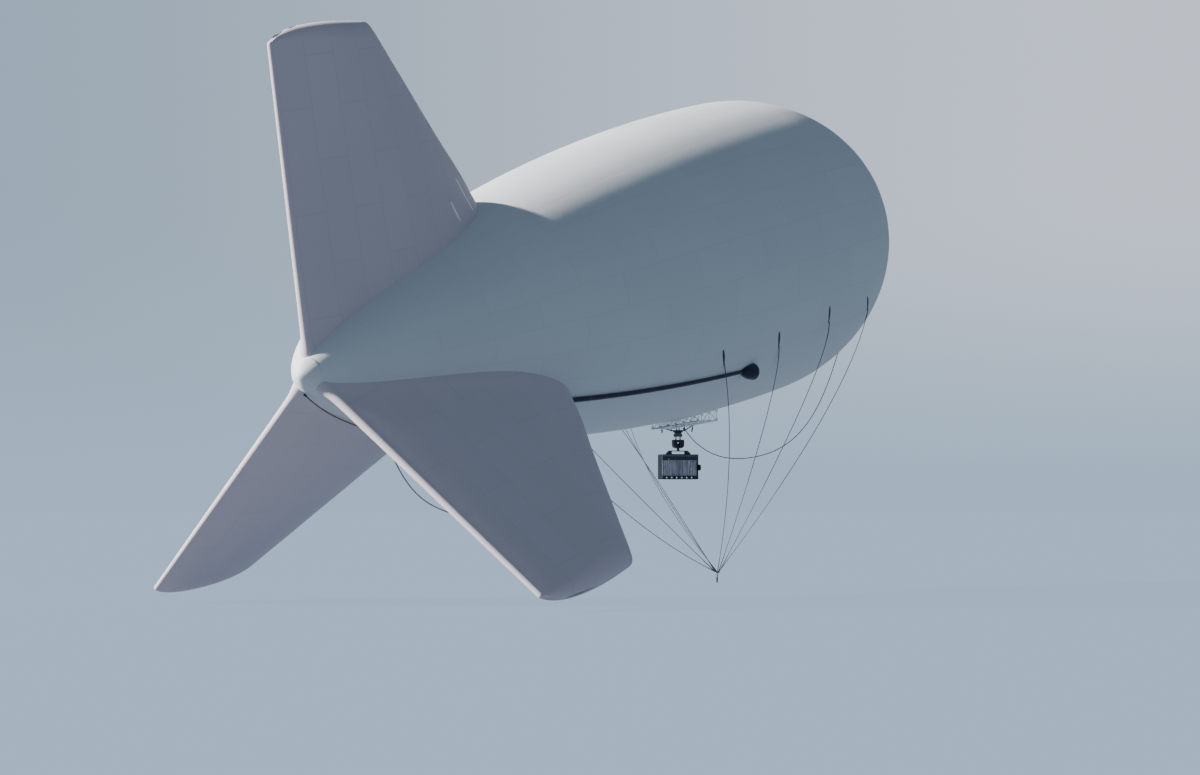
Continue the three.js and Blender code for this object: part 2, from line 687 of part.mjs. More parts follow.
// The lamp strip along the lower edge, with its round lamps
function lampStrip() {
  const { height, lamps, lamp, proud, first, pitch } = STRIP;
  const middle = boxBottom + height / 2;
  const pieces = [block(BOX.width, proud, height, [0, boxFace - proud / 2 - GAP, middle])];
  for (let i = 0; i < lamps; i += 1) {
    const across = first + pitch * i;
    const front = boxFace - proud - GAP - 8;
    pieces.push(rod(v3(across, front, middle), v3(across, front + 16, middle), lamp, 14));
  }
  return joined(pieces);
}

// The ribbed cooling panel that fills the recess in the case's face
function ribbedPanel() {
  const { recess, ribs } = PANEL;
  const width = BOX.width - PANEL.frame - 2 * GAP - 4;
  const height = PANEL_HEIGHT - 2 * GAP - 4;
  const middle = BOX.top - BAND.height - PANEL_HEIGHT / 2;
  const back = boxFace + recess - GAP;
  const pieces = [block(width, 10, height, [0, back - 5, middle])];
  for (let i = 0; i < ribs; i += 1) {
    const across = -width / 2 + 20 + ((width - 40) * i) / (ribs - 1);
    pieces.push(block(8, 24, height - 60, [across, back - 10 - 11, middle - 20]));
  }
  return joined(pieces);
}

const KNOB = { height: -5445, ahead: -60, neck: 62, neckLength: 50, head: 88, headLength: 65 };

function sideKnob() {
  const { height, ahead, neck, neckLength, head, headLength } = KNOB;
  const side = BOX.width / 2 + GAP;
  const at = (out) => v3(side + out, ahead, height);
  return joined([
    rod(at(0), at(neckLength), neck, 16),
    rod(at(neckLength - 5), at(neckLength - 5 + headLength), head, 16),
  ]);
}

// Free cables: each route is a list of points in this frame
const POWER = { diameter: 24, stemTop: 160 };
const POWER_ROUTE = [
  [2238, 0, -4372], [2548, -115, -4660], [2900, -245, -4887], [3283, -387, -5044],
  [3687, -536, -5130], [4097, -688, -5157], [4508, -840, -5137], [4916, -991, -5078],
  [5317, -1140, -4981], [5707, -1284, -4841], [6079, -1422, -4653], [6424, -1550, -4415],
  [6738, -1666, -4132], [7018, -1770, -3811], [7267, -1862, -3461], [7487, -1943, -3090],
  [7684, -2016, -2705], [7861, -2082, -2309], [8022, -2141, -1905],
];
const TAIL_CORD = { diameter: 30 };
const TAIL_ROUTE = [
  [-15757, 132, -4054], [-15699, 17, -4167], [-15638, -104, -4272], [-15574, -231, -4368],
  [-15508, -362, -4455], [-15440, -498, -4534], [-15370, -638, -4604], [-15298, -780, -4668],
  [-15226, -923, -4728], [-15153, -1068, -4784], [-15125, -1201, -4902], [-15095, -1333, -5021],
  [-15066, -1465, -5140], [-15037, -1596, -5259], [-15008, -1727, -5380], [-14995, -1806, -5537],
  [-14981, -1891, -5691], [-14966, -1983, -5841], [-14949, -2083, -5985], [-14931, -2193, -6122],
  [-14911, -2314, -6249], [-14889, -2446, -6364], [-14865, -2589, -6465], [-14840, -2741, -6550],
  [-14814, -2900, -6621], [-14786, -3064, -6682], [-14759, -3229, -6739],
];
const CLIP = { width: 64, thick: 28, ahead: 400, upperOut: 1720, lowerOut: 2620 };
const GLAND = { length: 90, root: 34, tip: 20 };

// A tapered gland whose tip meets a cable's end, which leaves it towards the next point
function gland(end, next) {
  const along = next.clone().sub(end).normalize();
  const geometry = new THREE.CylinderGeometry(GLAND.tip, GLAND.root, GLAND.length, 12);
  const turn = new THREE.Quaternion().setFromUnitVectors(v3(0, 1, 0), along);
  const middle = end.clone().addScaledVector(along, -GLAND.length / 2 - GAP);
  return solid(geometry, new THREE.Matrix4().compose(middle, turn, v3(1, 1, 1)));
}

const powerRoute = POWER_ROUTE.map((point) => v3(...point));
const powerExit = powerRoute[0];
const tailRoute = TAIL_ROUTE.map((point) => v3(...point));

function cableTube(route, diameter, steps) {
  return tubeAlong(new THREE.CatmullRomCurve3(route), diameter / 2, 8, steps);
}

// The truss gland's stem hangs plumb from its cross tube and turns into the cable's direction
function trussGland() {
  const back = powerExit.clone().sub(powerRoute[1]).normalize();
  const bend = powerExit.clone().addScaledVector(back, GLAND.length * 0.6);
  const stem = rod(bend, v3(bend.x, bend.y, powerExit.z + POWER.stemTop - GAP), GLAND.tip, 12);
  return gland(powerExit, powerRoute[1]).add(stem);
}

function hullGland() {
  return gland(powerRoute.at(-1), powerRoute.at(-2)).subtract(HULL_CLEAR_IN_ROW);
}

// A point beside the starboard fin's inner face: how far ahead of its trailing edge,
// how far out from the hull's axis, and how high off the face
function besideFin(ahead, out, height) {
  const edge = trailEdge(out);
  const half = finHalf(edge + ahead, out);
  const below = rad(FIN_ANGLES.starboard - 90);
  const outwards = v3(0, -Math.cos(below), -Math.sin(below)).multiplyScalar(out);
  const inner = v3(0, Math.sin(below), -Math.cos(below)).multiplyScalar(half + height);
  return v3(edge + ahead, 0, 0).add(outwards).add(inner);
}

function cordClip(out) {
  const { width, thick, ahead } = CLIP;
  const at = besideFin(ahead, out, thick / 2 - 8);
  const clip = block(width, thick + 16, width, at.toArray(), [FIN_ANGLES.starboard, 0, 0]);
  return clip.subtract(FIN_CLEAR.starboard);
}

const group = new THREE.Group();
group.name = 'tethered_aerostat';

function add(parent, name, body, material) {
  const mesh = new THREE.Mesh(body.isBufferGeometry ? body : shapeOf(body), material);
  mesh.name = name;
  parent.add(mesh);
}

// The hull's own group carries what is sewn to it, pitched about the origin
const hullGroup = new THREE.Group();
hullGroup.rotation.y = -rad(PITCH);
const hullPieces = new THREE.Group();
hullPieces.position.x = -CENTRE_AT;
hullGroup.add(hullPieces);
group.add(hullGroup);

add(hullPieces, 'envelope', envelope(), FABRIC);
add(hullPieces, 'tail_cap', tailCap(), FABRIC);
add(hullPieces, 'nose_cap', noseCap(), WEBBING);
add(hullPieces, 'mooring_probe', mooringProbe(), STEEL);
for (const name of Object.keys(FIN_ANGLES)) add(hullPieces, `fin_${name}`, fin(name), FABRIC);

const SIDES = [['starboard', -1], ['port', 1]];
for (const [name, side] of SIDES) {
  add(hullPieces, `fin_duct_${name}`, finDuct(side, name), DUCT_CLOTH);
  add(hullPieces, `duct_scoop_${name}`, ductScoop(side), DUCT_CLOTH);
  for (const line of LINES) {
    add(hullPieces, `load_patch_${name}_${line.name}`, loadPatch(line, side), WEBBING);
    add(group, `line_${name}_${line.name}`, sideLine(line, side), ROPE);
  }
  add(group, `belly_pad_${name}`, bellyPad(side), FABRIC);
}
add(hullPieces, 'load_patch_aft', keelPatch(AFT_LINE.u), WEBBING);
add(group, 'line_aft', aftLine(), ROPE);

const bridle = new THREE.Group();
bridle.position.copy(CONFLUENCE);
add(bridle, 'confluence_ring', RING, STEEL);
group.add(bridle);
add(group, 'swivel_yoke', swivelYoke(), STEEL);
add(group, 'swivel_body', swivelBody(), STEEL);
add(group, 'tether_socket', tetherSocket(), FITTING_BLACK);

add(group, 'payload_truss', payloadTruss(), TUBE_ALLOY);
add(group, 'belly_fairing', bellyFairing(), FAIRING_WHITE);
add(group, 'antenna_aft', stubAntenna(0, 10, 100, 0), FITTING_BLACK);
add(group, 'antenna_fore', stubAntenna(4 / 6, 110, 130, 45), FITTING_BLACK);
add(group, 'gimbal_hanger', gimbalHanger().subtract(trussClear()), DARK_PAINT);

// The payload's group stands on the pan axis and is turned to face aft and to starboard
const payload = new THREE.Group();
payload.position.x = PAYLOAD_AT;
payload.rotation.z = rad(PAYLOAD_TURN);
group.add(payload);
add(payload, 'pan_collar', panCollar(), DARK_PAINT);
add(payload, 'pan_post_left', panPost(-1), DARK_PAINT);
add(payload, 'pan_post_right', panPost(1), DARK_PAINT);
add(payload, 'tilt_fork', tiltFork(), DARK_PAINT);
add(payload, 'tilt_neck', tiltNeck(), DARK_PAINT);
add(payload, 'bridge_bracket', bridgeBracket(), DARK_PAINT);
add(payload, 'box_case', boxCase(), DARK_PAINT);
add(payload, 'box_band', boxBand(), DARK_PAINT);
add(payload, 'ribbed_panel', ribbedPanel(), SLATE_PAINT);
add(payload, 'lamp_strip', lampStrip(), FITTING_BLACK);
add(payload, 'side_knob', sideKnob(), FITTING_BLACK);

add(group, 'power_cable', cableTube(powerRoute, POWER.diameter, 32), BLACK_CABLE);
add(group, 'cable_gland_truss', trussGland(), FITTING_BLACK);
add(group, 'cable_gland_hull', hullGland(), FITTING_BLACK);

const FIN_CLEAR_IN_ROW = solid(shapeOf(FIN_CLEAR.starboard), HULL_TO_ROW);
const tailGland = gland(tailRoute[0], tailRoute[1]).subtract(HULL_CLEAR_IN_ROW);
const finGland = gland(tailRoute.at(-1), tailRoute.at(-2)).subtract(FIN_CLEAR_IN_ROW);
add(group, 'tail_cord', cableTube(tailRoute, TAIL_CORD.diameter, 44), BLACK_CABLE);
add(group, 'cord_gland_tail', tailGland, FITTING_BLACK);
add(group, 'cord_gland_fin', finGland, FITTING_BLACK);
add(hullPieces, 'cord_clip_upper', cordClip(CLIP.upperOut), FITTING_BLACK);
add(hullPieces, 'cord_clip_lower', cordClip(CLIP.lowerOut), FITTING_BLACK);

export default group;
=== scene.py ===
# Tethered aerostat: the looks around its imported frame.
# Metres, +X ahead, +Y to port, +Z up. The origin is the envelope's centre of volume.

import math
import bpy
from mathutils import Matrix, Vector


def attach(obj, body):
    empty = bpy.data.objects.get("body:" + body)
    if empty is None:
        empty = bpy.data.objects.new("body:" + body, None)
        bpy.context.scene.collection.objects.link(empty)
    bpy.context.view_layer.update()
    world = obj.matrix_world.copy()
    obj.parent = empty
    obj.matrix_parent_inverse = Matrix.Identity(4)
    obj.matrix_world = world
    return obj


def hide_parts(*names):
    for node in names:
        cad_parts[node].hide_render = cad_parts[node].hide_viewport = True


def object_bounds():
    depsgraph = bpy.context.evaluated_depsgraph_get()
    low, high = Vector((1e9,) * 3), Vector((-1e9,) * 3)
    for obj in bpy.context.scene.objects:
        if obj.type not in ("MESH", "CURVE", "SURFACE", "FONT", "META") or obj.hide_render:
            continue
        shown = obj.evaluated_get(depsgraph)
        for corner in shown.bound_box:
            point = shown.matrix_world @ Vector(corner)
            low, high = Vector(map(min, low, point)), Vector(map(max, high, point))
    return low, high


bl_info = {
    "name": "Tethered aerostat",
    "version": (1, 0, 0),
    "blender": (4, 5, 0),
    "location": "View3D > Sidebar > Aerostat",
    "description": "Builds the fabric, rigging and payload of a tethered aerostat around its frame",
    "category": "Add Mesh",
}

from collections import namedtuple
from types import SimpleNamespace

import bmesh
import bpy
import numpy as np
from bpy.props import FloatProperty, FloatVectorProperty, IntProperty, PointerProperty
from bpy.types import Operator, Panel, PropertyGroup
from mathutils import Matrix, Vector

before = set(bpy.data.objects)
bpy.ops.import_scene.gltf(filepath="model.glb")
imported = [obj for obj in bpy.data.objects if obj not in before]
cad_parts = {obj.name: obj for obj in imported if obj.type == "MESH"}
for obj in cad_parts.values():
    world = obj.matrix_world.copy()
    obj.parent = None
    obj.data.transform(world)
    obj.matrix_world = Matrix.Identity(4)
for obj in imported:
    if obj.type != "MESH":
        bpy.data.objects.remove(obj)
CAD_BOX = [list(corner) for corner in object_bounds()]
LOWEST = CAD_BOX[0][2]

HULL_BODY = "aerostat"
SWIVEL_BODY = "swivel"
PAN_BODY = "payload_pan"
TILT_BODY = "payload_tilt"
SIDES = (("starboard", -1), ("port", 1))

# The photograph's frame, in its own pixels
PHOTO_WIDTH = 1200
FOCAL_PIXELS = 2601.3


# Settings that a user would change

def length_setting(name, description, *default):
    """A size in metres, or several at once."""
    if len(default) > 1:
        return FloatVectorProperty(
            name=name, description=description, unit="LENGTH", size=len(default), default=default)
    return FloatProperty(name=name, description=description, unit="LENGTH", default=default[0])


def angle_setting(name, description, degrees):
    """An angle, given in degrees."""
    return FloatProperty(
        name=name, description=description, subtype="ANGLE", default=math.radians(degrees))


def number_setting(name, description, default):
    """A number without a unit."""
    return FloatProperty(name=name, description=description, default=default)


def colour_setting(name, description, *default):
    """A colour."""
    return FloatVectorProperty(
        name=name, description=description, subtype="COLOR", default=default)


class AerostatHull(PropertyGroup):
    """The gas envelope's sizes."""
    pitch: angle_setting("Pitch", "How far the hull flies nose up", 12.559)
    length: length_setting("Length", "Hull length along its axis", 28.0)
    radius: length_setting("Radius", "Largest radius of the hull", 4.417)
    widest: length_setting("Widest at", "Distance of the largest radius from the tail", 21.81)
    centre: length_setting("Centre at", "Distance of the centre of volume from the tail", 16.63)
    fullness: number_setting("Tail fullness", "How soon the tail swells", 1.792)
    taper: number_setting("Tail taper", "How bluntly the tail ends", 0.632)
    gores: IntProperty(name="Gores", description="Fabric panels around the hull", default=24, min=8)
    lobe: length_setting("Lobe", "How far a gore bulges between its seams", 0.0035)
    cap_lip: length_setting("Tail cap lip", "Distance of the tail cap's edge from the tail", 0.30)


class AerostatFins(PropertyGroup):
    """The inflated fins' sizes. Reach is measured out from the hull's axis."""
    lead_root: length_setting(
        "Nose root", "Nose line at the hull: from the tail, and reach", 7.02, 3.416)
    lead_tip: length_setting(
        "Nose tip", "Nose line at the tip: from the tail, and reach", 4.10, 7.39)
    nose_radius: length_setting(
        "Nose radius", "Radius of the nose at the root and the tip", 0.51, 0.46)
    trail_root: length_setting(
        "Trailing root", "Trailing edge at the hull: from the tail, and reach", 0.38, 0.30)
    trail_tip: length_setting(
        "Trailing tip", "Trailing edge at the tip: from the tail, and reach", 0.478, 7.59)
    trail_half: length_setting(
        "Trailing half thickness", "Half thickness of the trailing edge, root and tip", 0.10, 0.065)
    thick_root: length_setting(
        "Thickness low", "Low on the fin: reach, and half of its full thickness", 2.4, 0.89)
    thick_tip: length_setting(
        "Thickness high", "At the tip: reach, and half of its full thickness", 7.39, 0.48)
    fullest: number_setting("Fullest at", "Share of the chord back to the fullest part", 0.38)
    nose_past: length_setting(
        "Nose ahead", "The nose ahead of the nose line, at the root and the tip", 0.713, 0.571)
    spread: angle_setting("Lower fins", "Angle of a lower fin from straight up", 133.3)


class AerostatRigging(PropertyGroup):
    """The bridle's sizes."""
    confluence: length_setting(
        "Confluence", "Centre of the ring that joins the lines", 4.177, 0.0, -8.494)
    ring_radius: length_setting("Ring radius", "Radius of the ring's centre line", 0.055)
    ring_bar: length_setting("Ring bar", "Radius of the ring's bar", 0.012)
    line: length_setting("Line", "Diameter of a suspension line", 0.020)
    patch_width: length_setting("Patch width", "Width of a load patch's webbing", 0.076)
    patch_thick: length_setting("Patch thickness", "Thickness of a load patch's webbing", 0.016)


class AerostatPayload(PropertyGroup):
    """The payload's sizes."""
    pan_at: length_setting("Pan axis at", "Distance of the pan axis ahead of the centre", 1.79)
    facing: angle_setting("Facing", "Turn of the payload at rest", -45)
    box: length_setting("Box", "Width, depth and height of the payload box", 1.08, 0.45, 0.715)
    box_top: length_setting("Box top", "Height of the payload box's top", -5.07)


class AerostatFinishes(PropertyGroup):
    """The colours."""
    fabric: colour_setting("Envelope fabric", "Coated envelope fabric", 0.66, 0.667, 0.682)
    fin: colour_setting(
        "Fin fabric", "Coated fin fabric, a little more purple", 0.612, 0.526, 0.566)
    webbing: colour_setting("Webbing", "Load webbing", 0.03, 0.037, 0.05)
    duct: colour_setting("Duct cloth", "Air duct cloth", 0.011, 0.016, 0.034)
    rope: colour_setting("Rope", "Braided line", 0.06, 0.07, 0.085)
    steel: colour_setting("Steel", "Bright steel fittings", 0.52, 0.54, 0.56)
    alloy: colour_setting("Truss", "Truss tube, painted white", 0.86, 0.87, 0.88)
    shell: colour_setting("White shell", "Moulded white fairings", 0.93, 0.94, 0.95)
    paint: colour_setting("Dark paint", "Painted gimbal and case", 0.010, 0.015, 0.022)
    navy: colour_setting(
        "Top band", "Painted band over the payload's face", 0.020, 0.030, 0.052)
    slate: colour_setting("Slate panel", "Ribbed panel", 0.55, 0.535, 0.58)
    black: colour_setting("Black fittings", "Moulded black fittings", 0.014, 0.017, 0.021)
    jacket: colour_setting("Cable jacket", "Rubber cable jacket", 0.016, 0.019, 0.023)


class AerostatStage(PropertyGroup):
    """The floor, the light and the camera."""
    floor: length_setting("Floor level", "Height of the pale floor", LOWEST - 0.12)
    floor_colour: colour_setting("Floor", "Floor colour", 0.055, 0.055, 0.055)
    floor_glow: colour_setting("Floor light", "Soft light that the floor gives back", 0.21, 0.29, 0.40)
    backdrop_left: colour_setting(
        "Backdrop left", "The backdrop's colour on the left", 0.37, 0.485, 0.63)
    horizon: colour_setting(
        "Horizon", "The colour that the floor and the backdrop share", 0.42, 0.59, 0.78)
    backdrop_right: colour_setting(
        "Backdrop right", "The backdrop's colour on the right", 0.76, 0.85, 1.0)
    fill: colour_setting("Soft light", "Colour of the soft light all around", 0.150, 0.212, 0.285)
    sun_azimuth: angle_setting(
        "Sun azimuth", "Where the light comes from, from ahead towards port", 126)
    sun_height: angle_setting("Sun height", "How high the light stands", 25.5)
    sun_strength: number_setting("Sun strength", "Strength of the key light", 14.4)
    sun_size: angle_setting("Sun size", "Apparent size of the key light", 4)
    eye: length_setting("Camera", "Where the camera stands", -63.905, -35.911, -6.603)
    look: FloatVectorProperty(
        name="Looks along", description="The camera's viewing direction", default=(0.8618, 0.5052, 0.0462))


# Shapes: points, faces, a uv for each face corner and the wear of each point

Skin = namedtuple("Skin", "points faces uvs wear")
WELD_DISTANCE = 2e-5


def full_turn(count):
    """Evenly spaced angles around a circle."""
    return np.linspace(0, 2 * math.pi, count, endpoint=False)


def unit(vectors):
    """Vectors made one long."""
    return vectors / np.linalg.norm(vectors, axis=-1, keepdims=True)


def run_along(points):
    """The distance along a path at each of its points: the sum of the steps so far."""
    steps = np.linalg.norm(np.diff(points, axis=0), axis=1)
    return np.concatenate([[0.0], np.cumsum(steps)])


def lattice(rows, columns):
    """Each row's value with each column's, as a grid of pairs."""
    return np.stack(np.meshgrid(rows, columns, indexing="ij"), -1)


def grid_skin(grid, closed_rows=False, ends=("cap", "cap"), uv=None, wear=0.0):
    """A surface from a grid of points whose columns run around a closed section.

    Each face joins a point, its neighbour around, and the same two in the next row. An end is a
    cap, one flat face, or open, as where the row has shrunk to a point."""
    rows, columns = grid.shape[:2]
    if uv is None:
        along = np.arange(rows + 1) / rows if closed_rows else run_along(grid.mean(axis=1))
        uv = lattice(along, np.linspace(0, 1, columns + 1))
    row, column = np.meshgrid(
        np.arange(rows if closed_rows else rows - 1), np.arange(columns), indexing="ij")
    below, beside = (row + 1) % rows, (column + 1) % columns
    quads = np.stack(
        [row * columns + column, row * columns + beside, below * columns + beside,
         below * columns + column], -1).reshape(-1, 4)
    corner_uv = np.stack(
        [uv[row, column], uv[row, column + 1], uv[row + 1, column + 1], uv[row + 1, column]],
        -2).reshape(-1, 2)
    faces = quads.tolist()
    uvs = [corner_uv]
    if not closed_rows:
        rims = (np.arange(columns)[::-1], (rows - 1) * columns + np.arange(columns))
        for end, rim, at in zip(ends, rims, (0, rows - 1)):
            if end == "cap":
                faces.append(rim.tolist())
                uvs.append(np.tile(uv[at, 0], (columns, 1)))
    worn = np.broadcast_to(wear, (rows, columns)).reshape(-1)
    return oriented(Skin(grid.reshape(-1, 3), faces, np.concatenate(uvs), worn))


def oriented(skin):
    """The skin with its faces turned outwards, by the sign of the volume that they enclose."""
    corners = np.array([face[:3] for face in skin.faces])
    quads = np.array([(face[0], *face[2:]) for face in skin.faces if len(face) == 4])
    triangles = np.concatenate([corners, quads]) if len(quads) else corners
    middle = skin.points.mean(axis=0)
    a, b, c = (skin.points[triangles[:, i]] - middle for i in range(3))
    if np.einsum("ij,ij->i", a, np.cross(b, c)).sum() >= 0:
        return skin
    starts = np.cumsum([0] + [len(face) for face in skin.faces])
    order = np.concatenate(
        [np.arange(end - 1, start - 1, -1) for start, end in zip(starts, starts[1:])])
    return Skin(skin.points, [face[::-1] for face in skin.faces], skin.uvs[order], skin.wear)


def joined(skins):
    """Several skins as one."""
    counts = np.cumsum([0] + [len(skin.points) for skin in skins])
    faces = [[int(start) + i for i in face]
             for skin, start in zip(skins, counts) for face in skin.faces]
    points, uvs, wear = (
        np.concatenate([getattr(skin, part) for skin in skins]) for part in ("points", "uvs", "wear"))
    return Skin(points, faces, uvs, wear)


def moved(skin, matrix):
    """The skin's points turned and moved by a matrix."""
    turn = np.array(matrix)
    return skin._replace(points=skin.points @ turn[:3, :3].T + turn[:3, 3])


def piece(name, skin, material, replaced=(), crease=35, body=HULL_BODY, weld=False):
    """A finished object from a skin: smooth but for edges sharper than the crease angle."""
    mesh = bpy.data.meshes.new(name)
    mesh.from_pydata(skin.points.tolist(), [], skin.faces)
    layer = mesh.uv_layers.new(name="UVMap")
    layer.uv.foreach_set("vector", skin.uvs.astype(np.float32).ravel())
    worn = mesh.attributes.new("wear", "FLOAT", "POINT")
    worn.data.foreach_set("value", skin.wear.astype(np.float32))
    if weld:
        merged = bmesh.new()
        merged.from_mesh(mesh)
        bmesh.ops.remove_doubles(merged, verts=merged.verts, dist=WELD_DISTANCE)
        merged.to_mesh(mesh)
        merged.free()
    mesh.validate()
    mesh.polygons.foreach_set("use_smooth", np.ones(len(mesh.polygons), bool))
    mesh.set_sharp_from_angle(angle=math.radians(crease))
    mesh.materials.append(MATERIALS[material])
    made = bpy.data.objects.new(name, mesh)
    bpy.context.scene.collection.objects.link(made)
    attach(made, body)
    if replaced:
        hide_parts(*replaced)
    return made


def softened(corners, radius, closed=True, steps=4):
    """An outline whose corners are short curves: each is a quadratic curve from a radius before
    the corner to a radius after it, or less on a short side."""
    corners = np.asarray(corners, float)
    back = np.roll(corners, 1, axis=0) - corners
    ahead = np.roll(corners, -1, axis=0) - corners
    lengths = [np.linalg.norm(side, axis=1) for side in (back, ahead)]
    reach = [np.minimum(radius, 0.45 * length) / np.maximum(length, 1e-9) for length in lengths]
    start = corners + back * reach[0][:, None]
    end = corners + ahead * reach[1][:, None]
    t = np.linspace(0, 1, steps + 1)[None, :, None]
    curve = start[:, None] * (1 - t) ** 2 + 2 * corners[:, None] * t * (1 - t) + end[:, None] * t ** 2
    if closed:
        return curve.reshape(-1, 2)
    return np.concatenate([corners[:1], curve[1:-1].reshape(-1, 2), corners[-1:]])


def rectangle(half, low, high):
    """The four corners of an upright rectangle about the middle."""
    return [(-half, low), (half, low), (half, high), (-half, high)]


def prism(outline, low, high, edge=0.003, steps=3):
    """A flat outline of x and z carried along y from low to high, its two rims rounded by the
    edge: near each end the outline shrinks along its normals by a quarter circle."""
    outline = np.asarray(outline, float)
    following = np.roll(outline, -1, axis=0)
    tangent = following - np.roll(outline, 1, axis=0)
    normal = np.stack([tangent[:, 1], -tangent[:, 0]], 1)
    normal /= np.maximum(np.linalg.norm(normal, axis=1, keepdims=True), 1e-9)
    if np.sum(outline[:, 0] * following[:, 1] - outline[:, 1] * following[:, 0]) < 0:
        normal = -normal
    turn = np.linspace(0, math.pi / 2, steps + 1)
    inset = np.concatenate([edge * (1 - np.sin(turn)), edge * (1 - np.cos(turn))])
    height = np.concatenate([low + edge * (1 - np.cos(turn)), high - edge * (1 - np.sin(turn))])
    flat = outline[None] - normal[None] * inset[:, None, None]
    along = np.broadcast_to(height[:, None, None], flat[..., :1].shape)
    worn = np.where(inset > edge * 0.02, 1.0, 0.35)[:, None]
    worn[[0, -1]] = 0
    return grid_skin(np.concatenate([flat[..., :1], along, flat[..., 1:]], -1), wear=worn)


def block(low, high, edge=0.004, corner=0.006):
    """A box with rounded corners and rims, from its lowest to its highest corner."""
    (x0, y0, z0), (x1, y1, z1) = low, high
    outline = softened([(x0, z0), (x1, z0), (x1, z1), (x0, z1)], corner)
    return prism(outline, y0, y1, edge)


def frame_prism(outer, inner, low, high, edge=0.003):
    """A flat band between two outlines of as many points, carried from low to high along y.

    Its section runs out, back, in and forward again, with a small chamfer at each corner."""
    outer, inner = (np.asarray(outline, float) for outline in (outer, inner))
    into = (inner - outer) / np.linalg.norm(inner - outer, axis=1, keepdims=True)
    loop = [
        (outer, edge, low), (outer, 0, low + edge), (outer, 0, high - edge), (outer, edge, high),
        (inner, -edge, high), (inner, 0, high - edge), (inner, 0, low + edge), (inner, -edge, low),
    ]
    rows = []
    for outline, inset, at in loop:
        flat = outline + into * inset
        rows.append(np.stack([flat[:, 0], np.full(len(flat), at), flat[:, 1]], 1))
    return grid_skin(np.stack(rows), closed_rows=True)


def ring_about(axis, count):
    """The unit vector along an axis, and those square to it at evenly spaced angles: the cosine
    and sine of the angle along two directions square to the axis."""
    along = unit(np.array(axis, float))
    side = unit(np.cross(along, (0, 1, 0) if abs(along[1]) < 0.9 else (1, 0, 0)))
    turn = full_turn(count)[:, None]
    return along, np.cos(turn) * side + np.sin(turn) * np.cross(along, side)


def lathe(profile, sides=40, origin=(0, 0, 0), axis=(0, 0, 1), soft=0.0, wear_edges=True):
    """A profile of radius and distance along the axis, turned about it.

    A point is the origin, plus the distance along the axis, plus the radius times the direction
    that ring_about gives for its angle."""
    profile = np.asarray(profile, float)
    if soft:
        profile = softened(profile, soft, closed=False, steps=3)
    along, ring = ring_about(axis, sides)
    grid = np.array(origin) + profile[:, 1, None, None] * along + profile[:, 0, None, None] * ring
    worn = np.zeros(len(profile))
    if wear_edges and len(profile) > 2:
        legs = np.diff(profile, axis=0)
        legs /= np.maximum(np.linalg.norm(legs, axis=1, keepdims=True), 1e-9)
        worn[1:-1] = np.clip(1.4 * (1 - np.sum(legs[1:] * legs[:-1], axis=1)), 0, 1)
    return grid_skin(grid, wear=worn[:, None])


def tube(path, radius, sides=12, about=(0, 0, 1)):
    """A round section carried along a path: a point is the path's point, plus the radius times the
    cosine and sine of its angle along two directions square to the path's tangent."""
    path = np.asarray(path, float)
    tangent = unit(np.gradient(path, axis=0))
    side = unit(np.cross(tangent, about))
    up = np.cross(side, tangent)
    turn = full_turn(sides)[:, None]
    ring = np.cos(turn) * side[:, None] + np.sin(turn) * up[:, None]
    grid = path[:, None] + np.broadcast_to(radius, len(path))[:, None, None] * ring
    return grid_skin(grid, uv=lattice(run_along(path), np.linspace(0, 1, sides + 1)))


def strut(start, end, radius, sides=12):
    """A straight round tube with a slight chamfer at both ends."""
    start, end = np.asarray(start, float), np.asarray(end, float)
    length = np.linalg.norm(end - start)
    rim = min(0.15 * radius, 0.1 * length)
    profile = [(radius - rim, 0), (radius, rim), (radius, length - rim), (radius - rim, length)]
    return lathe(profile, sides, start, end - start)


def smooth_path(points, steps=6):
    """A curve through all the points: each piece is a cubic whose slopes at its two ends are half
    the step between the neighbours there."""
    points = np.asarray(points, float)
    slope = np.gradient(points, axis=0)
    t = np.linspace(0, 1, steps, endpoint=False)[None, :, None]
    a, b = points[:-1, None], points[1:, None]
    da, db = slope[:-1, None], slope[1:, None]
    curve = (
        a * (2 * t ** 3 - 3 * t ** 2 + 1) + da * (t ** 3 - 2 * t ** 2 + t)
        + b * (3 * t ** 2 - 2 * t ** 3) + db * (t ** 3 - t ** 2))
    return np.concatenate([curve.reshape(-1, 3), points[-1:]])


def path_length(path):
    """The sum of the distances between neighbouring points."""
    return float(run_along(path)[-1])


def bolt_heads(points, axis, radius=0.008, height=0.006):
    """Six-sided bolt heads, one on each point."""
    profile = [
        (0, -0.002), (radius, -0.002), (radius, height * 0.8), (radius * 0.8, height), (0, height)]
    return joined([lathe(profile, 6, point, axis) for point in points])


def bolt_ring(count, ring, centre, axis, radius, height, start=0.0, plane="xy"):
    """Bolt heads on a circle: the angle's cosine goes along the plane's first axis, and its sine
    along the second."""
    turn = start + np.arange(count) * 2 * math.pi / count
    points = np.tile(np.asarray(centre, float), (count, 1))
    for letter, wave in zip(plane, (np.cos(turn), np.sin(turn))):
        points[:, "xyz".index(letter)] += ring * wave
    return bolt_heads(points, axis, radius, height)


def sleeve(radius, length, tip, end, sides, at, way, soft=0.003):
    """A short round sleeve that tapers to its tip."""
    return lathe([(0, 0), (radius, 0), (radius, length), (tip, end), (0, end)], sides, at, way, soft)


# The hull's surface

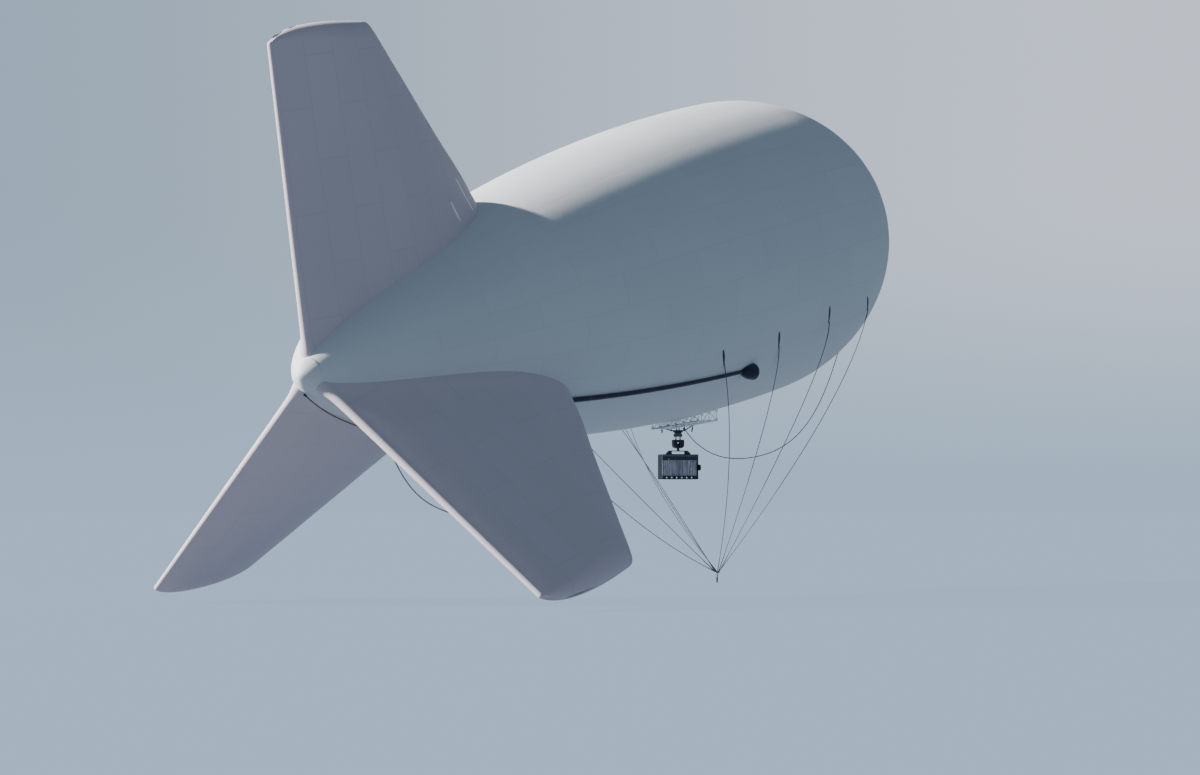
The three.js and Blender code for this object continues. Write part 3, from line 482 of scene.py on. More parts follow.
def hull_radius(u, hull):
    """Radius over the distance forward of the tail: a full tail that ends bluntly, then a half
    ellipse."""
    u = np.asarray(u, float)
    short = np.clip(1 - u / hull.widest, 0, 1)
    tail = hull.radius * (1 - short ** hull.fullness) ** hull.taper
    nose = np.clip((u - hull.widest) / (hull.length - hull.widest), 0, 1)
    return np.where(u < hull.widest, tail, hull.radius * np.sqrt(1 - nose ** 2))


def hull_offset(u, height, hull):
    """Radius and distance forward of a point at a height above the hull's surface."""
    step = 0.001
    slope = (hull_radius(u + step, hull) - hull_radius(u - step, hull)) / (2 * step)
    scale = height / np.hypot(1, slope)
    return hull_radius(u, hull) + scale, u - slope * scale


def about_hull(ahead, radius, turn):
    """Points around the hull's axis: the distance ahead, the radius times the angle's sine to
    port, and times its cosine up."""
    return np.stack(np.broadcast_arrays(ahead, radius * np.sin(turn), radius * np.cos(turn)), -1)


def on_hull(u, below, side, height, hull):
    """Points on the hull's surface, at degrees below the horizontal on one side, in the hull's frame."""
    radius, at = hull_offset(np.asarray(u, float), height, hull)
    turn = np.radians(below)
    return np.stack(
        np.broadcast_arrays(at, side * radius * np.cos(turn), -radius * np.sin(turn)), -1)


def to_row(points, hull):
    """From the hull's frame (forward of the tail, port, up) to this model's: moved to the centre of
    volume and pitched nose up."""
    points = np.asarray(points, float)
    ahead, port, up = points[..., 0] - hull.centre, points[..., 1], points[..., 2]
    cos, sin = math.cos(hull.pitch), math.sin(hull.pitch)
    return np.stack([cos * ahead - sin * up, port, sin * ahead + cos * up], -1)


def hull_matrix(hull):
    """The same change of frame as a matrix."""
    return Matrix.Rotation(-hull.pitch, 4, "Y") @ Matrix.Translation((-hull.centre, 0, 0))


# Shader groups and materials

class Graph:
    """Adds nodes to one node tree and links them."""

    def __init__(self, tree):
        self.tree = tree

    def add(self, kind, inputs=None, **settings):
        """A node with its settings, and its sockets fed by name or place."""
        node = self.tree.nodes.new(kind if kind.startswith("NodeGroup") else f"ShaderNode{kind}")
        for name, value in settings.items():
            setattr(node, name, value)
        for name, value in (inputs or {}).items():
            self.feed(node.inputs[name], value)
        return node

    def feed(self, socket, value):
        """A socket takes a link from another socket, or a plain value."""
        if isinstance(value, bpy.types.NodeSocket):
            self.tree.links.new(value, socket)
        else:
            socket.default_value = value

    def sum(self, operation, *values):
        """One step of arithmetic."""
        return self.add("Math", dict(enumerate(values)), operation=operation).outputs[0]

    def times(self, first, second):
        """The product of two values."""
        return self.sum("MULTIPLY", first, second)

    def span(self, value, low, high, to_low=0.0, to_high=1.0):
        """A value's place between low and high, smoothed, as a share between two others."""
        inputs = {"Value": value, "From Min": low, "From Max": high, "To Min": to_low, "To Max": to_high}
        return self.add("MapRange", inputs, interpolation_type="SMOOTHSTEP").outputs[0]

    def noise(self, vector, scale, detail=3.0, roughness=0.5):
        """Soft noise between 0 and 1."""
        inputs = {"Vector": vector, "Scale": scale, "Detail": detail, "Roughness": roughness}
        return self.add("TexNoise", inputs).outputs["Fac"]

    def split(self, vector):
        """A vector's three parts."""
        return self.add("SeparateXYZ", {0: vector}).outputs

    def blend(self, share, first, second):
        """Two colours mixed by a share."""
        return self.add("Mix", {0: share, 6: first, 7: second}, data_type="RGBA").outputs[2]


def colour(rgb):
    """An opaque colour."""
    return (*rgb, 1.0)


def shader_group(name, inputs, outputs):
    """An empty shader node group with named sockets, and its graph, inputs and outputs."""
    tree = bpy.data.node_groups.new(name, "ShaderNodeTree")
    for label, kind, default in inputs:
        socket = tree.interface.new_socket(name=label, in_out="INPUT", socket_type=kind)
        if default is not None:
            socket.default_value = default
    for label, kind in outputs:
        tree.interface.new_socket(name=label, in_out="OUTPUT", socket_type=kind)
    graph = Graph(tree)
    return graph, graph.add("NodeGroupInput").outputs, graph.add("NodeGroupOutput").inputs


VECTOR, FLOAT = "NodeSocketVector", "NodeSocketFloat"


def shades(base, *parts):
    """A colour made darker or lighter by each of several factors."""
    return [colour([channel * part for channel in base]) for part in parts]


def make_seam_group():
    """Welded panel seams: a tape lies where the second coordinate is near a whole number, and
    shorter ones where the first passes a panel's length, staggered from one gore to the next."""
    graph, given, out = shader_group(
        "Panel seams",
        [("Vector", VECTOR, None), ("Panel length", FLOAT, 3.2), ("Tape", FLOAT, 0.022),
         ("Joint tape", FLOAT, 0.009)],
        [("Tape", FLOAT), ("Tone", FLOAT)])
    along, around, _ = graph.split(given["Vector"])
    gore = graph.sum("FLOOR", around)
    stagger = graph.times(graph.sum("MODULO", gore, 2.0), 0.5)
    panel = graph.sum("ADD", graph.sum("DIVIDE", along, given["Panel length"]), stagger)
    tapes = []
    for place, width, rim in ((around, given["Tape"], 0.498), (panel, given["Joint tape"], 0.499)):
        off = graph.sum("ABSOLUTE", graph.sum("SUBTRACT", graph.sum("FRACT", place), 0.5))
        edges = (graph.sum("SUBTRACT", edge, width) for edge in (rim, 0.5))
        tapes.append(graph.span(off, *edges))
    cell = graph.add("CombineXYZ", {0: gore, 1: graph.sum("FLOOR", panel)})
    random = graph.add("TexWhiteNoise", {"Vector": cell.outputs[0]}, noise_dimensions="2D")
    graph.feed(out["Tape"], graph.sum("MAXIMUM", *tapes))
    graph.feed(out["Tone"], random.outputs["Value"])
    return graph.tree


def make_weather_group():
    """Weathering: broad clouds of tone with finer speckle over them."""
    graph, given, out = shader_group(
        "Weathering", [("Vector", VECTOR, None), ("Scale", FLOAT, 0.4)], [("Value", FLOAT)])
    broad = graph.noise(given["Vector"], given["Scale"], 5.0, 0.55)
    fine = graph.noise(given["Vector"], graph.times(given["Scale"], 14.0), 4.0, 0.6)
    mixed = graph.sum("ADD", graph.times(broad, 0.7), graph.times(fine, 0.3))
    graph.feed(out["Value"], graph.span(mixed, 0.32, 0.68))
    return graph.tree


def make_weave_group():
    """A plain weave: two sets of threads that cross, each a rounded ridge."""
    graph, given, out = shader_group(
        "Plain weave", [("Vector", VECTOR, None), ("Threads", FLOAT, 400.0)], [("Height", FLOAT)])
    waves = []
    for place in graph.split(given["Vector"])[:2]:
        turn = graph.times(graph.times(place, given["Threads"]), math.pi)
        waves.append(graph.sum("ABSOLUTE", graph.sum("SINE", turn)))
    graph.feed(out["Height"], graph.times(graph.sum("ADD", *waves), 0.5))
    return graph.tree


def make_lay_group():
    """A braided or laid rope: strands that wind around as they run along, crossed by the opposite
    set. The first coordinate is metres along, the second turns around."""
    graph, given, out = shader_group(
        "Rope braid", [("Vector", VECTOR, None), ("Strands", FLOAT, 8.0), ("Pitch", FLOAT, 0.12)],
        [("Height", FLOAT)])
    run, around, _ = graph.split(given["Vector"])
    along = graph.sum("DIVIDE", run, given["Pitch"])
    ridges = []
    for way in ("ADD", "SUBTRACT"):
        turn = graph.times(graph.sum(way, around, along), given["Strands"])
        ridges.append(graph.sum("ABSOLUTE", graph.sum("SINE", graph.times(turn, math.pi))))
    graph.feed(out["Height"], graph.times(*ridges))
    return graph.tree


def make_edge_group():
    """Worn edges: the mesh's own wear value, broken up by noise."""
    graph, given, out = shader_group(
        "Edge wear", [("Vector", VECTOR, None), ("Amount", FLOAT, 0.5)], [("Mask", FLOAT)])
    worn = graph.add("Attribute", attribute_name="wear").outputs["Fac"]
    broken = graph.times(graph.noise(given["Vector"], 38.0, 5.0, 0.65), 0.6)
    reach = graph.times(worn, given["Amount"])
    graph.feed(out["Mask"], graph.span(graph.sum("ADD", broken, reach), 0.55, 0.8))
    return graph.tree


SHARED_GROUPS = {
    "seams": make_seam_group, "weather": make_weather_group, "weave": make_weave_group,
    "lay": make_lay_group, "edges": make_edge_group,
}


class Finish:
    """One material: its graph, its coordinates and its principled shader. The vector is what its
    pattern follows, and the place is always the object's own metres."""

    def __init__(self, name, roughness, metallic=0.0, coords="Object", **plain):
        self.material = bpy.data.materials.new(name)
        self.material.use_nodes = True
        self.graph = Graph(self.material.node_tree)
        self.shader = self.material.node_tree.nodes["Principled BSDF"]
        coordinates = self.graph.add("TexCoord").outputs
        self.vector, self.place = coordinates[coords], coordinates["Object"]
        self.set(Roughness=roughness, Metallic=metallic, **plain)

    def set(self, **values):
        """Sets or feeds the shader's sockets by name, with _ for a space."""
        for name, value in values.items():
            self.graph.feed(self.shader.inputs[name.replace("_", " ")], value)

    def shared(self, group, **inputs):
        """Places one of the shared groups, on this material's coordinates unless told otherwise."""
        if group not in GROUP_TREES:
            GROUP_TREES[group] = SHARED_GROUPS[group]()
        node = self.graph.add("Group", node_tree=GROUP_TREES[group])
        inputs.setdefault("Vector", self.vector)
        for name, value in inputs.items():
            self.graph.feed(node.inputs[name.replace("_", " ")], value)
        return node.outputs

    def bump(self, height, distance, strength=1.0, normal=None):
        """A bump node over a height, chained to another if given."""
        inputs = {"Height": height, "Distance": distance, "Strength": strength}
        if normal is not None:
            inputs["Normal"] = normal
        return self.graph.add("Bump", inputs).outputs["Normal"]


GROUP_TREES = {}
MATERIALS = {}


def fabric_material(name, base, panel_length=3.2, tape=0.014, joint_tape=0.005):
    """Coated laminate: panels of slightly different tone, welded tapes, faint clouds and creases."""
    finish = Finish(name, 0.55, coords="UV", Sheen_Weight=0.05, Specular_IOR_Level=0.35)
    graph, place = finish.graph, finish.place
    seams = finish.shared("seams", Panel_length=panel_length, Tape=tape, Joint_tape=joint_tape)
    weather = finish.shared("weather", Vector=place, Scale=0.35)["Value"]
    tone = graph.sum("ADD", graph.times(seams["Tone"], 0.5), graph.times(weather, 0.5))
    darker, lighter, taped = shades(base, 0.965, 1.02, 0.90)
    cloth = graph.blend(graph.times(seams["Tape"], 0.55), graph.blend(tone, darker, lighter), taped)
    creases = finish.bump(graph.noise(place, 2.4, 4.0, 0.55), 0.010, 0.35)
    tapes = finish.bump(seams["Tape"], 0.0015, 0.6, creases)
    finish.set(Base_Color=cloth, Roughness=graph.span(weather, 0, 1, 0.50, 0.62),
               Normal=finish.bump(graph.noise(place, 160.0, 2.0), 0.0006, 0.4, tapes))
    return finish.material


def cloth_material(name, base, threads=420.0, roughness=0.8, crease=0.004):
    """Woven cloth or webbing on the piece's own uv, in metres. Its colour follows the weave's height:
    painted shade in the hollows between the threads and a painted highlight on their crowns.
    """
    finish = Finish(name, roughness, coords="UV", Sheen_Weight=0.2, Specular_IOR_Level=0.3)
    graph, place = finish.graph, finish.place
    weave = finish.shared("weave", Threads=threads)["Height"]
    faded = finish.shared("weather", Vector=place, Scale=2.5)["Value"]
    # Painted shade and highlight: darker where the weave dips, lighter on the threads' crowns
    weave_shading = graph.blend(weave, *shades(base, 0.75, 1.35))
    creases = finish.bump(graph.noise(place, 7.0, 3.0), crease, 0.6)
    finish.set(Base_Color=graph.blend(graph.times(faded, 0.35), weave_shading, colour(base)),
               Roughness=graph.span(faded, 0, 1, roughness - 0.1, roughness + 0.05),
               Normal=finish.bump(weave, 0.0006, 0.5, creases))
    return finish.material


def rope_material(name, base):
    """Braided line, painted darker in the grooves between strands and lighter on their crowns."""
    finish = Finish(name, 0.75, coords="UV", Sheen_Weight=0.15)
    graph = finish.graph
    braid = finish.shared("lay", Strands=8.0, Pitch=0.16)["Height"]
    # Painted shade in the grooves between strands and a painted highlight on their crowns
    finish.set(Base_Color=graph.blend(braid, *shades(base, 0.5, 1.25)),
               Roughness=graph.span(braid, 0, 1, 0.85, 0.65), Normal=finish.bump(braid, 0.002, 0.8))
    return finish.material


def metal_material(name, base, roughness=0.32):
    """Bare metal with a drawn grain and dulled patches."""
    finish = Finish(name, roughness, metallic=1.0)
    graph = finish.graph
    stretch = graph.add("Mapping", {"Vector": finish.vector, "Scale": (1.0, 1.0, 9.0)})
    drawn = graph.noise(stretch.outputs[0], 90.0, 3.0)
    dull = graph.times(finish.shared("weather", Scale=3.0)["Value"], 0.6)
    rough = graph.sum("ADD", graph.times(drawn, 0.4), dull)
    finish.set(Base_Color=graph.blend(dull, *shades(base, 1, 0.72)),
               Roughness=graph.span(rough, 0, 1, roughness - 0.08, roughness + 0.16),
               Normal=finish.bump(drawn, 0.0004, 0.3))
    return finish.material


def paint_material(name, base, roughness=0.42, worn=(0.30, 0.32, 0.34), amount=0.45, grain=0.0006,
                   gloss=0.5, dusted=1.0):
    """Sprayed paint: fine orange peel, dust in patches and rubbed edges."""
    finish = Finish(name, roughness, Coat_Weight=0.16 * gloss, Specular_IOR_Level=gloss)
    graph = finish.graph
    dust = finish.shared("weather", Scale=2.2)["Value"]
    rubbed = finish.shared("edges", Amount=amount)["Mask"]
    dusty = colour([channel * 1.45 + 0.006 * dusted for channel in base])
    coat = graph.blend(graph.times(dust, 0.45), colour(base), dusty)
    finish.set(Base_Color=graph.blend(graph.times(rubbed, 0.6), coat, colour(worn)),
               Roughness=graph.span(dust, 0, 1, roughness, roughness + 0.18),
               Normal=finish.bump(graph.noise(finish.vector, 220.0, 2.0), grain, 0.35))
    return finish.material


def panel_material(name, base):
    """The ribbed panel's paint: darker and lighter upright streaks run down it from rib to rib."""
    finish = Finish(name, 0.5, Coat_Weight=0.05)
    graph = finish.graph
    rubbed = finish.shared("edges", Amount=0.5)["Mask"]
    stretch = graph.add("Mapping", {"Vector": finish.vector, "Scale": (14.0, 14.0, 1.1)})
    streaks = graph.span(graph.noise(stretch.outputs[0], 1.6, 4.0, 0.6), 0.35, 0.68)
    coat = graph.blend(streaks, *shades(base, 0.62, 1.55))
    finish.set(Base_Color=graph.blend(graph.times(rubbed, 0.55), coat, colour((0.34, 0.35, 0.37))),
               Roughness=graph.span(streaks, 0, 1, 0.45, 0.65),
               Normal=finish.bump(graph.noise(finish.vector, 220.0, 2.0), 0.0006, 0.35))
    return finish.material


def rubber_material(name, base):
    """A cable's jacket: matt, faintly ribbed around by its extrusion."""
    finish = Finish(name, 0.55, Specular_IOR_Level=0.4)
    graph = finish.graph
    scuffs = finish.shared("weather", Scale=6.0)["Value"]
    finish.set(Base_Color=graph.blend(graph.times(scuffs, 0.5), *shades(base, 1, 1.8)),
               Roughness=graph.span(scuffs, 0, 1, 0.5, 0.68),
               Normal=finish.bump(graph.noise(finish.vector, 90.0, 3.0), 0.0005, 0.4))
    return finish.material


def lamp_material(name, base):
    """A lamp's frosted window, with a ring-moulded lens."""
    finish = Finish(name, 0.18, Coat_Weight=0.6, Emission_Strength=0.35)
    graph = finish.graph
    facet = graph.add("TexVoronoi", {"Vector": finish.vector, "Scale": 160.0}).outputs["Distance"]
    finish.set(Base_Color=graph.blend(facet, *shades(base, 1, 0.72)), Emission_Color=colour(base),
               Normal=finish.bump(facet, 0.001, 0.4))
    return finish.material


def make_materials():
    """Every finish, once."""
    tint = bpy.context.scene.aerostat_finishes
    MATERIALS.update(
        envelope=fabric_material("Envelope laminate", tint.fabric),
        fin=fabric_material("Fin laminate", tint.fin, 2.4, 0.017, 0.007),
        # A pale tape that paints the sunlit glint of two folds on the upper fin
        tape=cloth_material("Painted fold glint tape", (0.92, 0.93, 0.95), 300.0, 0.5, 0.002),
        pad=cloth_material("Pad cloth", tint.fabric * 0.9, 260.0, 0.75, 0.010),
        doubler=cloth_material("Patch doubler", tint.fabric * 0.93, 300.0, 0.7, 0.002),
        webbing=cloth_material("Load webbing", tint.webbing, 330.0),
        duct=cloth_material("Duct cloth", tint.duct, 420.0, 0.6, 0.014),
        rope=rope_material("Braided line", tint.rope),
        steel=metal_material("Bright steel", tint.steel),
        alloy=paint_material("Truss paint", tint.alloy, 0.36, (0.62, 0.63, 0.64), 0.3),
        shell=paint_material("White moulding", tint.shell, 0.28, (0.55, 0.56, 0.57), 0.2),
        paint=paint_material("Dark paint", tint.paint),
        box=paint_material("Box paint", tint.paint * 0.5, 0.6, (0.12, 0.13, 0.14), 0.35,
                           gloss=0.12, dusted=0.1),
        navy=paint_material("Band paint", tint.navy, 0.40),
        slate=panel_material("Slate panel paint", tint.slate),
        black=paint_material("Black moulding", tint.black, 0.5, (0.10, 0.105, 0.11), 0.35, 0.001),
        # Pale trim, also used for painted highlights along the case's left edge and the panel's top
        trim=paint_material("Pale trim and painted highlights", (0.42, 0.45, 0.48), 0.35, (0.6, 0.61, 0.62)),
        jacket=rubber_material("Cable jacket", tint.jacket),
        lamp=lamp_material("Lamp window", (0.78, 0.82, 0.86)),
    )


# The camera

class AEROSTAT_OT_camera(Operator):
    """Place the camera at the photograph's viewpoint"""
    bl_idname = "aerostat.camera"
    bl_label = "Camera"

    def execute(self, context):
        stage = context.scene.aerostat_stage
        lens = bpy.data.cameras.new("photo_camera")
        lens.sensor_width = 36.0
        lens.lens = lens.sensor_width * FOCAL_PIXELS / PHOTO_WIDTH
        lens.clip_start, lens.clip_end = 1.0, 4000.0
        camera = bpy.data.objects.new("photo_camera", lens)
        camera.location = stage.eye
        camera.rotation_euler = Vector(stage.look).to_track_quat("-Z", "Y").to_euler()
        context.scene.collection.objects.link(camera)
        context.scene.camera = camera
        return {"FINISHED"}


# The two free cables: their routes' points, in metres

POWER_DIAMETER = 0.024
POWER_ROUTE = [
    (2.238, 0, -4.372), (2.548, -0.115, -4.660), (2.900, -0.245, -4.887), (3.283, -0.387, -5.044),
    (3.687, -0.536, -5.130), (4.097, -0.688, -5.157), (4.508, -0.840, -5.137), (4.916, -0.991, -5.078),
    (5.317, -1.140, -4.981), (5.707, -1.284, -4.841), (6.079, -1.422, -4.653), (6.424, -1.550, -4.415),
    (6.738, -1.666, -4.132), (7.018, -1.770, -3.811), (7.267, -1.862, -3.461), (7.487, -1.943, -3.090),
    (7.684, -2.016, -2.705), (7.861, -2.082, -2.309), (8.022, -2.141, -1.905),
]
TAIL_DIAMETER = 0.030
TAIL_ROUTE = [
    (-15.757, 0.132, -4.054), (-15.699, 0.017, -4.167), (-15.638, -0.104, -4.272),
    (-15.574, -0.231, -4.368), (-15.508, -0.362, -4.455), (-15.440, -0.498, -4.534),
    (-15.370, -0.638, -4.604), (-15.298, -0.780, -4.668), (-15.226, -0.923, -4.728),
    (-15.153, -1.068, -4.784), (-15.125, -1.201, -4.902), (-15.095, -1.333, -5.021),
    (-15.066, -1.465, -5.140), (-15.037, -1.596, -5.259), (-15.008, -1.727, -5.380),
    (-14.995, -1.806, -5.537), (-14.981, -1.891, -5.691), (-14.966, -1.983, -5.841),
    (-14.949, -2.083, -5.985), (-14.931, -2.193, -6.122), (-14.911, -2.314, -6.249),
    (-14.889, -2.446, -6.364), (-14.865, -2.589, -6.465), (-14.840, -2.741, -6.550),
    (-14.814, -2.900, -6.621), (-14.786, -3.064, -6.682), (-14.759, -3.229, -6.739),
]


class AEROSTAT_OT_cords(Operator):
    """Hang the power cable and the tail cord"""
    bl_idname = "aerostat.cords"
    bl_label = "Cords"

    def execute(self, context):
        make_materials()
        for node, route, diameter, about in (
                ("power_cable", POWER_ROUTE, POWER_DIAMETER, (0.4, -0.9, 0)),
                ("tail_cord", TAIL_ROUTE, TAIL_DIAMETER, (1, 0, 0))):
            path = smooth_path(route)
            cable = piece(f"{node}_jacket", tube(path, diameter / 2, 14, about), "jacket",
                          [node])
        return {"FINISHED"}


# The hull

class AEROSTAT_OT_envelope(Operator):
    """Build the gas envelope and its tail cap"""
    bl_idname = "aerostat.envelope"
    bl_label = "Envelope"

    def execute(self, context):
        hull = context.scene.aerostat_hull
        for name, skin, node, crease in (
                ("envelope_skin", envelope_skin(hull), "envelope", 60),
                ("tail_cap_cloth", tail_cap_skin(hull), "tail_cap", 50)):
            piece(name, skin, "envelope", [node], crease, weld=True)
        return {"FINISHED"}


def envelope_skin(hull, rows=240, per_gore=12):
    """The hull turned about its axis, each gore bulging a little between its seams.

    The stations crowd together at both ends, as the cosine of their share of a half turn."""
    u = hull.length * (1 - np.cos(math.pi * np.linspace(0, 1, rows))) / 2
    gore = np.arange(hull.gores * per_gore + 1) / per_gore
    full = hull_radius(u, hull)[:, None]
    bulge = hull.lobe * (np.abs(np.sin(math.pi * gore[:-1])) - 0.6) * full / hull.radius
    radius = np.maximum(full + bulge, 0)
    radius[[0, -1]] = 0
    grid = about_hull(u[:, None], radius, gore[:-1] * 2 * math.pi / hull.gores)
    return grid_skin(to_row(grid, hull), ends=("open", "open"), uv=lattice(u, gore))


def tail_cap_skin(hull, sides=96, proud=0.010):
    """A laced cap over the blunt tail: it follows the hull's surface a little above it, to a rolled
    lip, and puckers towards the lip by the cosine of 24 times the angle."""
    u = hull.cap_lip * np.linspace(0, 1, 26) ** 1.8
    radius, at = (part.copy() for part in hull_offset(np.maximum(u, 1e-4), proud, hull))
    radius[0], at[0] = 0, -proud
    lip = np.array([(0.002, 0.012), (-0.008, 0.018), (-0.03, 0.004)]) + (radius[-1], at[-1])
    profile = np.concatenate([np.stack([radius, at], 1), lip])
    turn = full_turn(sides)
    pucker = 1 + 0.004 * np.cos(24 * turn) * np.linspace(0, 1, len(profile))[:, None] ** 3
    grid = about_hull(profile[:, 1:], profile[:, :1] * pucker, turn)
    uv = lattice(profile[:, 1], np.linspace(0, 8, sides + 1) + 0.3)
    return grid_skin(to_row(grid, hull), ends=("open", "cap"), uv=uv)


# The fins

# Folds at the fin's nose: distance behind the leading edge, width, height, reach and length
NOSE_FOLDS = (
    (0.10, 0.05, 0.045, 3.9, 0.75), (0.34, 0.07, 0.040, 3.9, 0.45), (0.62, 0.10, 0.030, 4.0, 0.5))
# Points along the tip's edge, each from the tail and in reach, and the ribs' pitch
TIP_POINTS = ((0.72, 7.715), (1.15, 7.83), (1.7, 7.90), (2.5, 7.93), (3.3, 7.905))
RIB_PITCH = 0.9
# Pale tapes over two folds of the upper fin's starboard face, a painted highlight for the folds' sunlit
# glints: both ends from the tail, and reach
FOLD_GLINT_STRIPS = (((6.556, 3.811), (7.060, 2.920)), ((5.907, 3.275), (6.145, 2.770)))


class AEROSTAT_OT_fins(Operator):
    """Build the three inflated fins"""
    bl_idname = "aerostat.fins"
    bl_label = "Fins"

    def execute(self, context):
        hull, fins = context.scene.aerostat_hull, context.scene.aerostat_fins
        skin, place = fin_skin(hull, fins), hull_matrix(hull)
        for name, angle in (("upper", 0), ("starboard", fins.spread), ("port", -fins.spread)):
            piece(f"fin_{name}_cloth", moved(skin, place @ Matrix.Rotation(angle, 4, "X")), "fin",
                  [f"fin_{name}"], 40, weld=True)
        # Pale tapes on two folds of the upper fin: painted highlights for the folds' sunlit glints
        tapes = joined([fold_glint_skin(*ends, hull, fins) for ends in FOLD_GLINT_STRIPS])
        piece("fin_upper_fold_glints", moved(tapes, place), "tape", (), 40)
        return {"FINISHED"}


def fold_glint_skin(start, end, hull, fins, width=0.062, thick=0.008, count=48, step=0.02):
    """A thin pale tape on the fin's face, between two points of its plan: a painted highlight standing for
    a fold's sunlit glint. Its direction off the face is the slope of the fin's half thickness, found from
    two points a step away."""
    tip, corner, _ = fin_outline(fins)
    outline = np.concatenate([tip, corner[1:]])
    plan = np.linspace(start, end, count)
    half, ahead, above = (
        fin_half_thickness(plan + shift, outline, hull, fins) for shift in ((0, 0), (step, 0), (0, step)))
    points = np.stack([plan[:, 0], -half, plan[:, 1]], 1)
    out = unit(np.stack([(half - ahead) / step, np.full(count, -1.0), (half - above) / step], 1))
    beside = unit(np.cross(np.gradient(points, axis=0), out))
    pointed = width * (0.25 + 0.75 * np.sin(np.linspace(0, math.pi, count)) ** 0.5)
    return flat_strip(points, out, beside, pointed, thick, 0.003)


def fin_outline(fins):
    """The fin's edge seen from its side: from the trailing tip over the tip, around its front
    corner, and the leading edge down to the root."""
    sweep = math.atan(fin_sweep(fins))
    turn = np.linspace(0, math.pi / 2 - sweep, 40)
    corner = np.array(fins.lead_tip) + fins.nose_radius[1] * np.stack([np.sin(turn), np.cos(turn)], 1)
    reach = np.array([fins.lead_root[1], 2.0, 0.3])
    root = np.stack([lead_edge(reach, fins), reach], 1)
    tip = smooth_plane([fins.trail_tip, *TIP_POINTS, corner[0]], 12)
    return tip, corner, root


def fin_sweep(fins):
    """How far the nose line runs back for each metre out."""
    return (fins.lead_root[0] - fins.lead_tip[0]) / (fins.lead_tip[1] - fins.lead_root[1])


def lead_edge(reach, fins):
    """The leading edge's distance from the tail, at a reach."""
    past = np.interp(reach, [fins.lead_root[1], fins.lead_tip[1]], fins.nose_past)
    return fins.lead_root[0] - (reach - fins.lead_root[1]) * fin_sweep(fins) + past


def trail_edge(reach, fins):
    """The trailing edge's distance from the tail and its half thickness, at a reach."""
    part = (reach - fins.trail_root[1]) / (fins.trail_tip[1] - fins.trail_root[1])
    edge = fins.trail_root[0] + (fins.trail_tip[0] - fins.trail_root[0]) * part
    return edge, fins.trail_half[0] + (fins.trail_half[1] - fins.trail_half[0]) * part


def smooth_plane(points, steps):
    """A smooth curve through points of a plane."""
    return smooth_path([(*point, 0) for point in points], steps)[:, :2]


def resample(line, shares):
    """Points at shares of a line's length."""
    at = run_along(line)
    return np.stack([np.interp(np.asarray(shares) * at[-1], at, line[:, i]) for i in range(2)], -1)


def edge_distance(points, line):
    """The shortest distance from each point to a line of short segments."""
    start, step = line[:-1], np.diff(line, axis=0)
    flat = points.reshape(-1, 1, 2) - start[None]
    share = np.clip(np.sum(flat * step, -1) / np.sum(step * step, -1), 0, 1)
    gap = flat - share[..., None] * step
    return np.sqrt(np.min(np.sum(gap * gap, -1), axis=1)).reshape(points.shape[:-1])


def fin_skin(hull, fins, chord=96, span=110, trail=7, start_reach=2.8):
    """One fin, standing up from the hull's axis.

    Its plan is a patch between four edges: root, trailing edge, tip and leading edge. Its half
    thickness is a wing section's, times a quarter circle of the distance from the tip's edge.
    The trailing edge is a half circle. The fin flares where it meets the hull, and has shallow
    ribs and a few folds at the nose's root."""
    tip, corner, root = fin_outline(fins)
    bend = len(corner) // 2
    leading = np.concatenate([root[::-1], corner[::-1][:len(corner) - bend]])
    tip_edge = np.concatenate([tip, corner[1:bend + 1]])
    s = 1 - (1 - np.sin(np.linspace(0, math.pi / 2, chord))) ** 0.93
    v = np.sin(np.linspace(0, 1, span) ** 0.9 * math.pi / 2)
    along_lead = np.linspace(0, 1, 200)
    begin = np.interp(start_reach, resample(leading, along_lead)[:, 1], along_lead)
    ahead = np.array([[0.6 * half, 0] for half in fins.trail_half])
    trail_line = np.array([fins.trail_root, fins.trail_tip]) + ahead
    east = resample(leading, begin + (1 - begin) * v)
    north = resample(tip_edge, s)
    south_u = trail_line[0, 0] + (east[0, 0] - trail_line[0, 0]) * s
    south = np.stack([south_u, np.clip(hull_radius(south_u, hull) - 0.25, 0.12, start_reach)], -1)
    west = resample(np.array([south[0], trail_line[1]]), v)
    south[-1] = east[0]
    S, V = (part[..., None] for part in np.meshgrid(s, v))
    plan = (
        (1 - V) * south[None] + V * north[None] + (1 - S) * west[:, None] + S * east[:, None]
        - (1 - S) * (1 - V) * south[0] - S * (1 - V) * south[-1]
        - (1 - S) * V * north[0] - S * V * north[-1])
    half = fin_half_thickness(plan, np.concatenate([tip, corner[1:]]), hull, fins)
    half[:, -1] = 0
    starboard, port = (np.concatenate([plan, side * half[..., None]], -1) for side in (1, -1))
    edge = half[:, :1]
    turn = np.linspace(0, math.pi, trail + 2)[1:-1]
    band = np.stack(np.broadcast_arrays(
        plan[:, :1, 0] - edge * np.sin(turn), plan[:, :1, 1], edge * np.cos(turn)), -1)
    loop = np.concatenate([starboard[:, ::-1], band, port[:, :-1]], 1)
    uv = np.stack([loop[..., 1], loop[..., 0] / RIB_PITCH + 0.45], -1)
    return grid_skin(loop[..., [0, 2, 1]], uv=np.concatenate([uv, uv[:, :1]], 1))


def section_half(u, reach, fins):
    """Half the thickness of the fin's section.

    It rises over its front part as the power 0.55 of a quarter ellipse's height squared, and
    falls behind it towards the trailing edge as one less the power 1.7 of the distance."""
    lead = lead_edge(reach, fins)
    trail, trail_half = trail_edge(reach, fins)
    low, high = fins.thick_root, fins.thick_tip
    most = low[1] + (high[1] - low[1]) * (reach - low[0]) / (high[0] - low[0])
    back = np.clip((lead - u) / (lead - trail), 0, 1)
    front = most * (1 - (1 - np.clip(back / fins.fullest, 0, 1)) ** 2) ** 0.55
    aft = np.clip((back - fins.fullest) / (1 - fins.fullest), 0, 1)
    return np.where(back < fins.fullest, front, trail_half + (most - trail_half) * (1 - aft ** 1.7))


